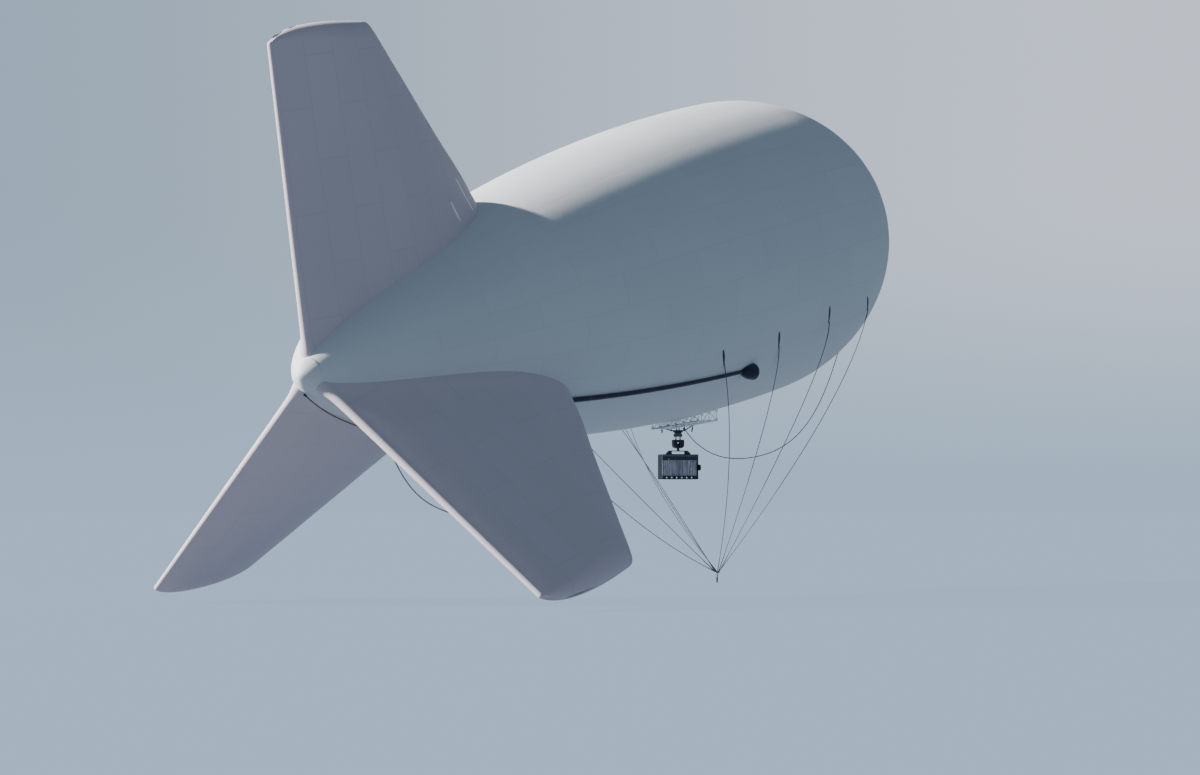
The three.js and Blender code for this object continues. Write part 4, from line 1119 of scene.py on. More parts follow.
def fin_half_thickness(plan, outline, hull, fins):
    """Half the fin's thickness over its plan, as fin_skin says."""
    u, reach = plan[..., 0], plan[..., 1]
    lead = lead_edge(reach, fins)
    trail, _ = trail_edge(reach, fins)
    back = np.clip((lead - u) / (lead - trail), 0, 1)
    half = section_half(u, reach, fins)
    above = np.maximum(reach - hull_radius(u, hull), 0)
    half = half + 0.07 * np.exp(-above / 0.16) * (0.4 + 0.6 * back) * np.clip(back / 0.1, 0, 1)
    rib = np.abs(np.sin(math.pi * (u / RIB_PITCH + 0.45)))
    gap = edge_distance(plan, outline)
    half = half + 0.004 * (rib - 0.6) * np.clip((u - trail) / 0.25, 0, 1) * np.clip(gap / 0.6, 0, 1)
    for at, wide, high, low_reach, reaches in NOSE_FOLDS:
        fold = np.exp(-((lead - u - at) / wide) ** 2)
        half = half + high * fold * np.exp(-((reach - low_reach) / reaches) ** 2) * (above > 0)
    share = np.clip(gap / np.maximum(half, 1e-6), 0, 1)
    return half * np.sqrt(np.maximum(1 - (1 - share) ** 2, 0))


# The air ducts

# A duct's two ends from the tail and its rise off the hull, then for each end its degrees below
# the horizontal and its radius, and the scoop's sizes
DUCT_FROM, DUCT_TO, DUCT_RISE = 7.75, 15.77, 0.036
DUCT_BELOW = (42.1, 41.1)
DUCT_RADII = (0.070, 0.052)
SCOOP_LENGTH, SCOOP_MOUTH, SCOOP_RISE = 0.50, 0.232, 0.112


class AEROSTAT_OT_ducts(Operator):
    """Build the two air ducts and their scoops"""
    bl_idname = "aerostat.ducts"
    bl_label = "Air ducts"

    def execute(self, context):
        hull = context.scene.aerostat_hull
        for name, side in SIDES:
            for node, skin, crease in (
                    (f"fin_duct_{name}", duct_skin(hull, side), 60),
                    (f"duct_scoop_{name}", scoop_skin(hull, side), 50)):
                piece(f"{node}_cloth", skin, "duct", [node], crease)
        return {"FINISHED"}


def duct_skin(hull, side, stations=260, per_hoop=17, pitch=0.54):
    """A sleeve along the hull, cinched by a hoop every half metre and slightly creased between."""
    u = np.linspace(DUCT_FROM, DUCT_TO, stations)
    below, radius = (np.interp(u, (DUCT_FROM, DUCT_TO), ends) for ends in (DUCT_BELOW, DUCT_RADII))
    path = to_row(on_hull(u, below, side, DUCT_RISE, hull), hull)
    hoop = np.abs(np.sin(math.pi * (u - DUCT_FROM) / pitch)) ** 0.35
    skin = tube(path, radius * (0.93 + 0.07 * hoop), 20, (0, side * 0.7, 0.7))
    rings = [hoop_skin(path, i, radius[i]) for i in range(per_hoop, stations - 10, per_hoop)]
    return joined([skin, *rings])


def hoop_skin(path, at, radius):
    """A sewn-in hoop's cord around the sleeve, at one point of its path."""
    profile = np.array([(0.90, -0.012), (0.99, -0.008), (0.99, 0.008), (0.90, 0.012)]) * (radius, 1)
    return lathe(profile, 20, path[at], path[at + 1] - path[at - 1])


def scoop_skin(hull, side, throat=0.075, wall=0.010):
    """A cloth bell: its profile swells from the duct to a hemmed mouth, and comes back inside as a
    lining."""
    start, mouth, length = DUCT_TO - 0.04, SCOOP_MOUTH, SCOOP_LENGTH
    rear = to_row(on_hull(start, DUCT_BELOW[1], side, DUCT_RISE, hull), hull)
    front = to_row(on_hull(start + length, DUCT_BELOW[1], side, SCOOP_RISE, hull), hull)
    t = np.linspace(0, 1, 22)
    swell = throat + (mouth - throat) * (1 - (1 - t) ** 1.9) ** 0.85
    outside = np.stack([swell, t * (length - 0.015)], 1)
    hem = [(mouth + 0.004, length - 0.012), (mouth, length), (mouth - 0.009, length)]
    inside = np.stack([swell - wall, t * (length - 0.03) + 0.015], 1)[::-1]
    profile = np.concatenate([[(0.0, 0.0)], outside, hem, inside, [(0.0, 0.03)]])
    return lathe(profile, 48, rear, front - rear, wear_edges=False)


# The nose cap and its mooring probe

# The cap's flat face, from the tail, and its radius
NOSE_FACE_AT, NOSE_DISC = 28.014, 0.13
# The mooring probe's length, and the radii of its flange, rod, head and head's face
PROBE = (0.42, 0.10, 0.030, 0.048, 0.036)


class AEROSTAT_OT_nose(Operator):
    """Build the nose cap's webbing star and the mooring probe"""
    bl_idname = "aerostat.nose"
    bl_label = "Nose"

    def execute(self, context):
        hull = context.scene.aerostat_hull
        place = hull_matrix(hull)
        piece("nose_cap_webbing", moved(nose_cap_skin(hull), place), "webbing",
              ["nose_cap"], 50)
        piece("mooring_probe_steel", moved(probe_skin(), place), "steel", ["mooring_probe"])
        return {"FINISHED"}


def nose_cap_skin(hull, arms=12, rise=0.012):
    """A webbing cap around the nose: it follows the hull a little above it, its rim scalloped
    by the cosine of the angle times the number of arms."""
    t = np.linspace(0, 1, 20)[:, None]
    turn = full_turn(144)
    rim = 0.60 + 0.10 * np.cos(arms * turn)
    radius = NOSE_DISC + 0.004 + (rim - NOSE_DISC) * t
    drop = (hull.length - hull.widest) * (1 - np.sqrt(1 - (radius / hull.radius) ** 2))
    lift = rise * (1 - t ** 8) + 0.002
    top = about_hull(hull.length - drop + lift, radius, turn)
    base = top.copy()
    base[..., 0] -= lift + 0.004
    under, hub = (about_hull(at, NOSE_DISC, turn) for at in (hull.length - 0.004, NOSE_FACE_AT))
    return grid_skin(np.concatenate([under[None], hub[None], top, base[::-1]]), closed_rows=True)


def probe_skin():
    """A flange with bolts, a rod and a rounded head, turned about the hull's axis."""
    length, flange, rod, head, face = PROBE
    start = NOSE_FACE_AT + 0.0005
    profile = [
        (0, 0), (flange, 0), (flange, 0.016), (flange - 0.02, 0.018), (rod + 0.012, 0.022),
        (rod + 0.004, 0.05), (rod, 0.06), (rod, length - 0.13), (rod + 0.006, length - 0.125),
        (rod + 0.006, length - 0.105), (rod, length - 0.10), (head, length - 0.07),
        (head, length - 0.03), (face, length), (0, length),
    ]
    body = lathe(profile, 40, (start, 0, 0), (1, 0, 0), soft=0.004)
    bolts = bolt_ring(8, 0.083, (start + 0.017, 0, 0), (1, 0, 0), 0.010, 0.009, 0.2, "zy")
    return joined([body, bolts])


# The bridle

# A side line: its patch's near end, in metres from the tail and degrees below the horizontal, how
# far the patch runs ahead and down, where the line joins the ring, in degrees, and the line's bow
LoadLine = namedtuple("LoadLine", "name at below ahead spread seat bow")
LOAD_LINES = (
    LoadLine("1", 14.070, 27.9, 0.400, 7.5, 140, (-0.16, 0.61, 0.47)),
    LoadLine("2", 16.920, 25.8, 0.360, 7.5, 100, (0.0, 1.01, 1.98)),
    LoadLine("3", 19.716, 20.8, 0.280, 7.5, 60, (-0.80, 2.23, 2.38)),
    LoadLine("4", 22.400, 22.6, 0.500, 7.0, 20, (-1.56, 2.62, 1.19)),
)
# The same of the aft line, whose patch runs back along the keel, and a line's lap over its patch
AFT_AT, AFT_SEAT, AFT_BOW = 10.4, 180, (0.0, 0.0, -0.68)
AFT_PATCH = 0.5
LINE_LAP = 0.06
# Straight down, in degrees below the horizontal; a patch's rows, and its doubler's size
KEEL = 90.0
PATCH_ROWS, DOUBLER_WIDTH, DOUBLER_THICK = 30, 0.30, 0.004
# The swivel's turned parts under the ring: radius, and height from the ring's centre
YOKE_PROFILE = [
    (0, -0.0123), (0.066, -0.0123), (0.066, -0.0263), (0.034, -0.036), (0.026, -0.046),
    (0.026, -0.066), (0.012, -0.066), (0.012, -0.130), (0, -0.130),
]
SWIVEL_PROFILE = [
    (0, -0.135), (0.0128, -0.135), (0.0128, -0.071), (0.026, -0.071), (0.032, -0.077),
    (0.032, -0.094), (0.0295, -0.096), (0.0295, -0.100), (0.032, -0.102), (0.032, -0.134),
    (0.0295, -0.136), (0.0295, -0.140), (0.032, -0.142), (0.032, -0.157), (0.024, -0.165),
    (0, -0.165),
]


class AEROSTAT_OT_bridle(Operator):
    """Build the load patches, the suspension lines, the confluence ring and the swivel"""
    bl_idname = "aerostat.bridle"
    bl_label = "Bridle"

    def execute(self, context):
        hull, rig = context.scene.aerostat_hull, context.scene.aerostat_rigging
        share = np.linspace(0, 1, PATCH_ROWS)
        for name, side in SIDES:
            for line in LOAD_LINES:
                place = (line.at + line.ahead * share, line.below + line.spread * share, side)
                lap = 1 - LINE_LAP / path_length(to_row(on_hull(*place, 0, hull), hull))
                start = line_start(
                    line.at + line.ahead * lap, line.below + line.spread * lap, side, hull, rig)
                bow = np.array(line.bow) * (1, side, 1)
                self.attach(f"{name}_{line.name}", place, start, side * line.seat, bow, hull, rig)
        place = (AFT_AT - AFT_PATCH * (1 - share), np.full(PATCH_ROWS, KEEL), 1)
        start = line_start(AFT_AT - LINE_LAP, KEEL, 1, hull, rig)
        self.attach("aft", place, start, AFT_SEAT, np.array(AFT_BOW), hull, rig)
        self.join_lines(rig)
        return {"FINISHED"}

    def attach(self, name, place, start, seat, bow, hull, rig):
        """One load patch on its pale doubler, and the line from it to the ring."""
        points, out, beside = strip_frames(*place, hull)
        share = np.linspace(0, 1, len(points))
        oval = DOUBLER_WIDTH * np.sqrt(np.clip(1 - (2 * share - 1) ** 2, 0.0, 1)) + 0.012
        doubler = flat_strip(points, out, beside, oval, DOUBLER_THICK)
        piece(f"load_patch_{name}_doubler", doubler, "doubler", (), 40)
        waist = 0.020 + (rig.patch_width * 1.15 - 0.020) * np.sin(math.pi * share ** 0.72) ** 0.9
        strap = flat_strip(points, out, beside, waist, rig.patch_thick, 0.004, rounded=0.55)
        stitches = patch_stitches(points, out, beside, waist, rig.patch_thick)
        piece(f"load_patch_{name}_webbing", joined([strap, stitches]), "webbing",
              [f"load_patch_{name}"], 45)
        outward = np.array([math.cos(math.radians(seat)), math.sin(math.radians(seat)), 0.0])
        rope = rope_skin(start, np.array(rig.confluence) + rig.ring_radius * outward, bow, outward, rig)
        piece(f"line_{name}_rope", rope, "rope", [f"line_{name}"], 50)

    def join_lines(self, rig):
        """The ring, the swivel under it and the tether's socket."""
        centre = Vector(rig.confluence)
        ring = torus(centre, (0, 0, 1), rig.ring_radius, rig.ring_bar, 64, 16)
        piece("confluence_ring_steel", ring, "steel", ["confluence_ring"], 50)
        yoke = lathe(YOKE_PROFILE, 40, centre, soft=0.003)
        bolts = bolt_ring(6, 0.052, centre + Vector((0, 0, -0.0263)), (0, 0, -1), 0.006, 0.005)
        piece("swivel_yoke_steel", joined([yoke, bolts]), "steel", ["swivel_yoke"])
        piece("swivel_body_steel", lathe(SWIVEL_PROFILE, 40, centre), "steel", ["swivel_body"],
              body=SWIVEL_BODY)
        along = np.linspace(0, 0.150, 41)
        ribs = 0.030 - 0.008 * np.clip((along - 0.03) / 0.12, 0, 1) - 0.0016 * (np.arange(41) % 3 == 2)
        ribs[-3:] -= (0.001, 0.003, 0.006)
        profile = [
            (0, -0.1653), *zip(ribs, -0.1653 - along), (0.0125, -0.3153), (0.0125, -0.30), (0, -0.30)]
        piece("tether_socket_moulding", lathe(profile, 32, centre, wear_edges=False), "black",
              ["tether_socket"], 50, SWIVEL_BODY)


def rope_skin(start, end, bow, outward, rig):
    """A line from its patch to the ring: a quadratic curve whose middle is bowed, thicker where it
    is spliced back near both ends, with two lashings and an eye around the ring's bar."""
    t = np.linspace(0, 1, 90)[:, None]
    path = start * (1 - t) ** 2 + 2 * ((start + end) / 2 + bow) * t * (1 - t) + end * t ** 2
    run = run_along(path)
    from_end = np.minimum(run, run[-1] - run)
    spliced = (1 - np.clip((from_end - 0.45) / 0.18, 0, 1)) * (from_end < 0.64)
    half = rig.line / 2
    rope = tube(path, half * (1 + 0.35 * spliced), 12, np.cross(path[-1] - path[0], (0.3, 0.2, 1.0)))
    lashings = [
        torus(path[i], path[i] - path[i - 1], half * 1.25, 0.004, 20, 6)
        for i in (len(path) - 3, len(path) - 2)]
    eye = torus(end, np.cross(outward, (0, 0, 1)), rig.ring_bar + rig.line * 0.30, rig.line * 0.42, 28, 10)
    return joined([rope, *lashings, eye])


def line_start(at, below, side, hull, rig):
    """Where a line's end lies on its patch."""
    height = rig.patch_thick + rig.line / 2 - 0.002
    return to_row(on_hull(at, below, side, height, hull), hull)


def strip_frames(at, below, side, hull):
    """Points along a strip on the hull, with the hull's outward direction and the one across."""
    points, above = (to_row(on_hull(at, below, side, height, hull), hull) for height in (0.0, 0.1))
    out = (above - points) / 0.1
    return points, out, unit(np.cross(np.gradient(points, axis=0), out))


def flat_strip(points, out, beside, width, thick, base=0.0, rounded=0.35, columns=24):
    """A strip of cloth on the hull: its section is half an ellipse whose height is the sine of
    the angle to a small power, so it is flat with rolled edges, and its ends thin out."""
    turn = full_turn(columns)
    share = np.linspace(0, 1, len(points))
    thin = np.clip(np.minimum(share, 1 - share) / 0.06, 0.12, 1) ** 0.5
    upper = np.sin(turn) > 1e-6
    height = np.where(upper, np.abs(np.sin(turn)) ** rounded, 0.0)[None] * (thick * thin)[:, None]
    height = np.where(upper[None], base + height, base * 0.5 - 0.006)
    across = np.cos(turn)[None] * np.broadcast_to(width, len(points))[:, None] / 2
    grid = points[:, None] + across[..., None] * beside[:, None] + height[..., None] * out[:, None]
    wrapped = np.concatenate([across, across[:, :1]], 1)
    uv = np.stack(np.broadcast_arrays(run_along(points)[:, None], wrapped), -1)
    return grid_skin(grid, uv=uv)


def patch_stitches(points, out, beside, width, thick):
    """Two rows of raised stitching along a strap, each a thin cord near its edge."""
    rows = []
    inner = slice(4, -4)
    for way in (-1, 1):
        offset = way * (width[inner] / 2 - 0.011).clip(0.002)
        path = points[inner] + offset[:, None] * beside[inner] + (thick * 0.93 + 0.003) * out[inner]
        path = smooth_path(path, 4)
        ripple = 0.0016 * (0.55 + 0.45 * np.cos(np.arange(len(path)) * math.pi))
        rows.append(tube(path, ripple, 6, beside[0]))
    return joined(rows)


def torus(centre, axis, radius, bar, sides=40, around=12):
    """A round bar bent into a ring about an axis: a point is the centre, plus the radius and the
    bar's cosine outwards, plus the bar's sine along the axis."""
    along, out = ring_about(axis, sides)
    bend = full_turn(around)[None, :, None]
    grid = np.array(centre, float) + out[:, None] * (radius + bar * np.cos(bend))
    return grid_skin(grid + along * bar * np.sin(bend), closed_rows=True)


# The keel truss, its pads, fairing and antennas

TRUSS = SimpleNamespace(
    aft=16.560, fore=19.330, half=0.300, bays=6, seat=0.032, aft_depth=0.190,
    fore_depth=0.320, chord=0.022, strut=0.013, tie=0.006)
PLATE = SimpleNamespace(radius=0.230, top=-4.375, bottom=-4.445, bore=0.0406)
# Where the search for the belly's height begins, the tufts' pitch and half a pad's width
BELLY_GUESS, TUFT_PITCH, PAD_HALF = -4.2, 0.4, 0.064


def belly_ends(hull):
    """The belly's points over the truss's two ends."""
    return to_row(on_hull(np.array([TRUSS.aft, TRUSS.fore]), KEEL, 1, 0.0, hull), hull)


def truss_joint(part, side, lower, hull):
    """A joint of the truss: on the straight line between its two belly stations, below the pads."""
    aft, fore = belly_ends(hull)
    joint = aft + (fore - aft) * part
    depth = TRUSS.aft_depth + (TRUSS.fore_depth - TRUSS.aft_depth) * part
    joint[2] -= TRUSS.seat + TRUSS.chord + (depth if lower else 0)
    joint[1] = side * TRUSS.half
    return joint


class AEROSTAT_OT_truss(Operator):
    """Build the keel truss with its pads, fairing and antennas"""
    bl_idname = "aerostat.truss"
    bl_label = "Truss"

    def execute(self, context):
        hull = context.scene.aerostat_hull
        piece("payload_truss_tubes", truss_skin(hull), "alloy", ["payload_truss"], 40)
        piece("payload_truss_gussets", gusset_skin(hull), "alloy", (), 30)
        piece("payload_truss_harness", harness_skin(hull), "black", (), 50)
        for name, side in SIDES:
            pad = piece(f"belly_pad_{name}_foam", pad_skin(side, hull), "pad", [f"belly_pad_{name}"],
                        50)
        piece("belly_fairing_shell", fairing_skin(), "shell", ["belly_fairing"], 60)
        for name, *sizes in (("aft", 0, 0.010, 0.100, 0.0), ("fore", 4 / 6, 0.110, 0.130, 0.045)):
            piece(f"antenna_{name}_rod", antenna_skin(*sizes, hull), "black", [f"antenna_{name}"],
                  45)
        return {"FINISHED"}


def truss_skin(hull):
    """Round tubes between the truss's joints: four chords, posts, cross tubes and crossed diagonals,
    with a collar where each post meets its chord. A joint is its part of the length, its side and
    whether it is a lower one."""
    def between(start, end, radius=TRUSS.strut, sides=12):
        return strut(truss_joint(*start, hull), truss_joint(*end, hull), radius, sides)

    members = [between((-0.02, side, lower), (1.02, side, lower), TRUSS.chord, 20)
               for side in (-1, 1) for lower in (False, True)]
    parts = np.arange(TRUSS.bays + 1) / TRUSS.bays
    for part in parts:
        for side in (-1, 1):
            members.append(between((part, side, False), (part, side, True)))
            top, foot = (truss_joint(part, side, lower, hull) for lower in (False, True))
            way = unit(foot - top)
            for end, out in ((top, way), (foot, -way)):
                members.append(
                    sleeve(0.020, 0.040, 0.013, 0.046, 14, end + out * TRUSS.chord * 0.7, out, 0.002))
        for lower in (False, True):
            members.append(between((part, -1, lower), (part, 1, lower)))
    for i, (here, there) in enumerate(zip(parts, parts[1:])):
        for side in (-1, 1):
            for up in (True, False):
                radius = TRUSS.strut if up == (i % 2 == 0) else TRUSS.tie
                members.append(between((here, side, up), (there, side, not up), radius))
        members.append(between((here, -1, True), (there, 1, True), TRUSS.tie, 10))
    return joined(members)


def gusset_skin(hull):
    """Thin plates at the side frames' joints, each a rounded triangle fan cut square, with two bolts."""
    plates = []
    corners = np.array([(-0.085, 0.0), (0.085, 0.0), (0.045, 0.075), (-0.045, 0.075)])
    for i in range(TRUSS.bays + 1):
        for side in (-1, 1):
            for lower, up in ((False, -1), (True, 1)):
                x, y, z = truss_joint(i / TRUSS.bays, side, lower, hull)
                face = y + side * 0.014
                outline = softened(corners * (1, up) + (x, z), 0.02)
                plates.append(prism(outline, face - 0.003, face + 0.003, 0.001, steps=1))
                heads = [(x + ahead, face + side * 0.003, z + up * 0.022) for ahead in (-0.05, 0.05)]
                plates.append(bolt_heads(heads, (0, side, 0), 0.009, 0.007))
    return joined(plates)


def harness_skin(hull):
    """Two thin cables that droop from post to post along the truss, tied to its lower chords:
    between ties the drop is a sine of the share of the way."""
    cables = []
    share = np.linspace(0, 1, 97)
    for side, drop in ((-1, 0.020), (1, 0.028)):
        aft, fore = (truss_joint(part, side, True, hull) for part in (0, 1))
        chord = aft + (fore - aft) * share[:, None]
        droop = 0.028 - drop * np.abs(np.sin(math.pi * share * TRUSS.bays))
        path = chord + np.stack(np.broadcast_arrays(0, -side * 0.020, droop), 1)
        cables.append(tube(path, 0.007, 8, (0, 1, 0)))
        ties = chord[::16] + (0, 0, 0.004)
        cables += [torus(tie, fore - aft, 0.030, 0.0025, 20, 6) for tie in ties]
    return joined(cables)


def squared(wave):
    """A sine or cosine made squarer, by the power 0.42 of its size."""
    return np.sign(wave) * np.abs(wave) ** 0.42


def pad_skin(side, hull, rows=90, columns=40):
    """A foam pad between the hull and a chord: its top follows the hull, its underside is flat,
    its sides bulge and its ends are rounded. Tufts pull it in at an even pitch."""
    aft, fore = belly_ends(hull)
    length = np.linalg.norm(fore - aft) + 0.16
    share = np.linspace(0, 1, rows)
    middle = (aft + fore) / 2 + unit(fore - aft) * ((share - 0.5) * length)[:, None]
    slope = math.atan2(fore[2] - aft[2], fore[0] - aft[0])
    low = middle[:, 2] - TRUSS.seat / math.cos(slope) + 0.0015
    top = belly_height(middle[:, 0], side * TRUSS.half, hull) - 0.0008
    turn = full_turn(columns)
    end = np.clip(np.minimum(share, 1 - share) * length / 0.05, 0, 1)
    tufts = 0.955 + 0.045 * np.abs(np.sin(math.pi * share * length / TUFT_PITCH)) ** 0.5
    plump = (np.sqrt(1 - (1 - end) ** 2) * tufts)[:, None]
    across = side * TRUSS.half + PAD_HALF * squared(np.cos(turn)) * plump
    high = squared(np.sin(turn))
    centre, half = (top + low)[:, None] / 2, (top - low)[:, None] / 2
    height = centre + half * high * np.where(high > 0, 1.0, plump)
    grid = np.stack(np.broadcast_arrays(middle[:, :1], across, height), -1)
    return grid_skin(grid, uv=lattice(share * length, np.linspace(0, 0.4, columns + 1)))


def belly_height(x, y, hull):
    """The height of the hull's underside over a place in plan, found by stepping towards it."""
    cos, sin = math.cos(hull.pitch), math.sin(hull.pitch)
    z = np.full(len(x), BELLY_GUESS)
    for _ in range(12):
        radius = hull_radius(cos * x + sin * z + hull.centre, hull)
        z = (sin * x - np.sqrt(np.maximum(radius ** 2 - y ** 2, 0))) / cos
    return z


def fairing_skin(long=0.340, wide=0.122, high=0.092, at=(0.520, -0.110, -4.187), lean=8.0, sides=48):
    """A white half egg: along it the section is an ellipse whose size is that of an egg's
    profile, the root of one less the square of the distance from its middle."""
    s = np.cos(np.linspace(0, math.pi, 40))
    s = s[s > -0.97][::-1, None]
    turn = full_turn(sides)
    size = np.sqrt(np.maximum(1 - s ** 2, 0)) * (1 + 0.08 * s)
    section = wide * size * np.cos(turn), high * size * np.sin(turn)
    grid = np.stack(np.broadcast_arrays(long * s, *section), -1)
    matrix = Matrix.Translation(at) @ Matrix.Rotation(math.radians(lean), 4, "Y")
    return moved(grid_skin(grid), matrix)


def antenna_skin(part, drop, length, lean, hull):
    """A stem and a stub with a rounded tip and a grooved foot."""
    joint = truss_joint(part, 1, True, hull)
    joint[1] = 0
    joint[2] -= TRUSS.strut + 0.0003
    top = joint + (0, 0, -drop)
    way = np.array((-lean, 0, -length))
    run = np.linalg.norm(way)
    profile = [
        (0, 0), (0.016, 0), (0.022, 0.008), (0.022, 0.028), (0.0195, 0.030), (0.0195, 0.034),
        (0.021, 0.036), (0.020, run - 0.02), (0.013, run - 0.004), (0, run)]
    stub = lathe(profile, 24, top, way, soft=0.002)
    reach = drop + 0.008
    stem = lathe([(0, 0), (0.010, 0), (0.010, reach), (0, reach)], 16, joint, (0, 0, -1))
    return joined([stem, stub])


# The gimbal

COLLAR = SimpleNamespace(
    stub=0.040, stub_top=-4.385, neck=0.100, top=-4.450, radius=0.130, step=-4.480, bottom=-4.560)
POST_ACROSS, POST_RADIUS = 0.066, 0.025
FORK = SimpleNamespace(
    top=-4.650, width=0.320, depth=0.200, height=0.240, slot=0.090,
    slot_top=0.070, chamfer=0.060, cheek=0.150)
TILT_AT = -4.800
# The gap left between two pieces that meet
SEAT = 0.0003


def payload_matrix(context):
    """The pan axis at rest: across the payload's face is its first direction."""
    payload = context.scene.aerostat_payload
    return Matrix.Translation((payload.pan_at, 0, 0)) @ Matrix.Rotation(payload.facing, 4, "Z")


class AEROSTAT_OT_gimbal(Operator):
    """Build the hanger, the pan collar with its posts, and the tilt fork"""
    bl_idname = "aerostat.gimbal"
    bl_label = "Gimbal"

    def execute(self, context):
        hull, payload = context.scene.aerostat_hull, context.scene.aerostat_payload
        matrix = payload_matrix(context)
        piece("gimbal_hanger_plate", hanger_skin(payload.pan_at, hull), "paint",
              ["gimbal_hanger"])
        left, right = (post_skin(side) for side in (-1, 1))
        for name, skin, material, node, crease in (
                ("pan_collar_shell", collar_skin(), "paint", "pan_collar", 35),
                ("pan_post_left_tube", left, "alloy", "pan_post_left", 35),
                ("pan_post_right_tube", right, "alloy", "pan_post_right", 35),
                ("tilt_fork_shell", fork_skin(), "paint", "tilt_fork", 30)):
            piece(name, moved(skin, matrix), material, [node], crease, PAN_BODY)
        return {"FINISHED"}


def post_skin(side, flange=0.033):
    """A post with a flange at each end."""
    bottom = FORK.top + SEAT
    length = COLLAR.bottom - SEAT - bottom
    profile = [
        (0, 0), (flange, 0), (flange, 0.010), (POST_RADIUS, 0.014), (POST_RADIUS, length - 0.014),
        (flange, length - 0.010), (flange, length), (0, length)]
    return lathe(profile, 28, (side * POST_ACROSS, 0, bottom), soft=0.002)


def hanger_skin(pan_at, hull):
    """A bored plate whose rim has four lobes, with four braces up to the truss."""
    turn = full_turn(96)
    lobed = PLATE.radius * (0.80 + 0.20 * np.abs(np.cos(2 * turn)) ** 0.6)
    top, bottom, bore = PLATE.top, PLATE.bottom, PLATE.bore
    loop = [(bore, top), (lobed, top), (lobed, top - 0.022), (0.150, top - 0.030),
            (0.120, bottom + 0.004), (0.116, bottom), (bore, bottom)]
    rows = [np.stack(np.broadcast_arrays(pan_at + r * np.cos(turn), r * np.sin(turn), height), -1)
            for r, height in loop]
    parts = [grid_skin(np.stack(rows), closed_rows=True)]
    for station in (1, 3):
        for side in (-1, 1):
            joint = truss_joint(station / TRUSS.bays, side, True, hull)
            ahead = pan_at + math.copysign(0.150, joint[0] - pan_at)
            foot = np.array([ahead, side * 0.120, top - 0.010])
            way = unit(foot - joint)
            parts += [strut(joint, foot, 0.016, 16),
                      sleeve(0.026, 0.05, 0.016, 0.06, 16, joint, way),
                      sleeve(0.024, 0.03, 0.016, 0.04, 16, foot - way * 0.002, -way)]
    parts.append(
        bolt_ring(8, 0.135, (pan_at, 0, top - 0.0005), (0, 0, 1), 0.011, 0.009, math.pi / 8))
    return joined(parts)


def collar_skin():
    """A stepped round housing with cooling grooves and a bolted flange."""
    c = COLLAR
    grooves = []
    for height in np.linspace(-4.498, -4.540, 5):
        grooves += [(c.radius, height + 0.004), (c.radius - 0.006, height + 0.002),
                    (c.radius - 0.006, height - 0.002), (c.radius, height - 0.004)]
    profile = [
        (0, c.stub_top), (c.stub, c.stub_top), (c.stub, c.top), (c.neck, c.top), (c.neck, c.step),
        (c.radius, c.step - 0.0001), *grooves, (c.radius, c.bottom), (0, c.bottom)]
    bolts = bolt_ring(8, 0.115, (0, 0, c.step - 0.0005), (0, 0, 1), 0.007, 0.006)
    return joined([lathe(profile[::-1], 56), bolts])


def fork_skin():
    """The tilt motor's housing: two cheeks around a slot, with round covers over the pin's ends."""
    f = FORK
    half, inner, deep, low = f.width / 2, f.slot / 2, f.depth / 2, f.top - f.height
    right = [(half, f.top), (half, f.top - f.cheek - 0.03), (half - f.chamfer, low),
             (inner, low), (inner, f.top - f.slot_top)]
    outline = softened([*right, *[(-x, z) for x, z in reversed(right)]], 0.014)
    parts = [prism(outline, -deep, deep, 0.006)]
    cover = [
        (0, 0), (0.060, 0), (0.060, 0.006), (0.052, 0.009), (0.030, 0.009), (0.028, 0.005), (0, 0.005)]
    for side in (-1, 1):
        out = (side, 0, 0)
        parts += [lathe(cover, 36, (side * (half - 0.002), 0, TILT_AT), out, soft=0.0015),
                  bolt_ring(6, 0.044, (side * (half + 0.0065), 0, TILT_AT), out, 0.005, 0.003,
                            plane="yz")]
    for side in (-1, 1):
        for height in (f.top - 0.030, f.top - 0.055):
            for way in (-1, 1):
                parts.append(
                    bolt_heads([(side * 0.13, way * deep, height)], (0, way, 0), 0.007, 0.005))
    return joined(parts)


# The payload box

BRACKET = SimpleNamespace(
    top=-4.960, bottom=-5.0697, base=0.355, crown=0.275, slot=0.200, depth=0.120)
# The band's and the lamp strip's heights, and how far they stand off the face
BAND_HEIGHT, BAND_PROUD = 0.165, 0.016
STRIP_HEIGHT, STRIP_PROUD = 0.095, 0.016
# The lamps' places across the face
LAMPS = -0.410 + 0.149 * np.arange(6)
# The panel's ribs, how deep it lies, and the frame and the gap around it
PANEL_RIBS, PANEL_RECESS, PANEL_FRAME, PANEL_GAP = 21, 0.040, 0.070, 0.0023
KNOB = SimpleNamespace(
    height=-5.445, ahead=-0.060, neck=0.062, neck_length=0.050, head=0.088, head_length=0.065)


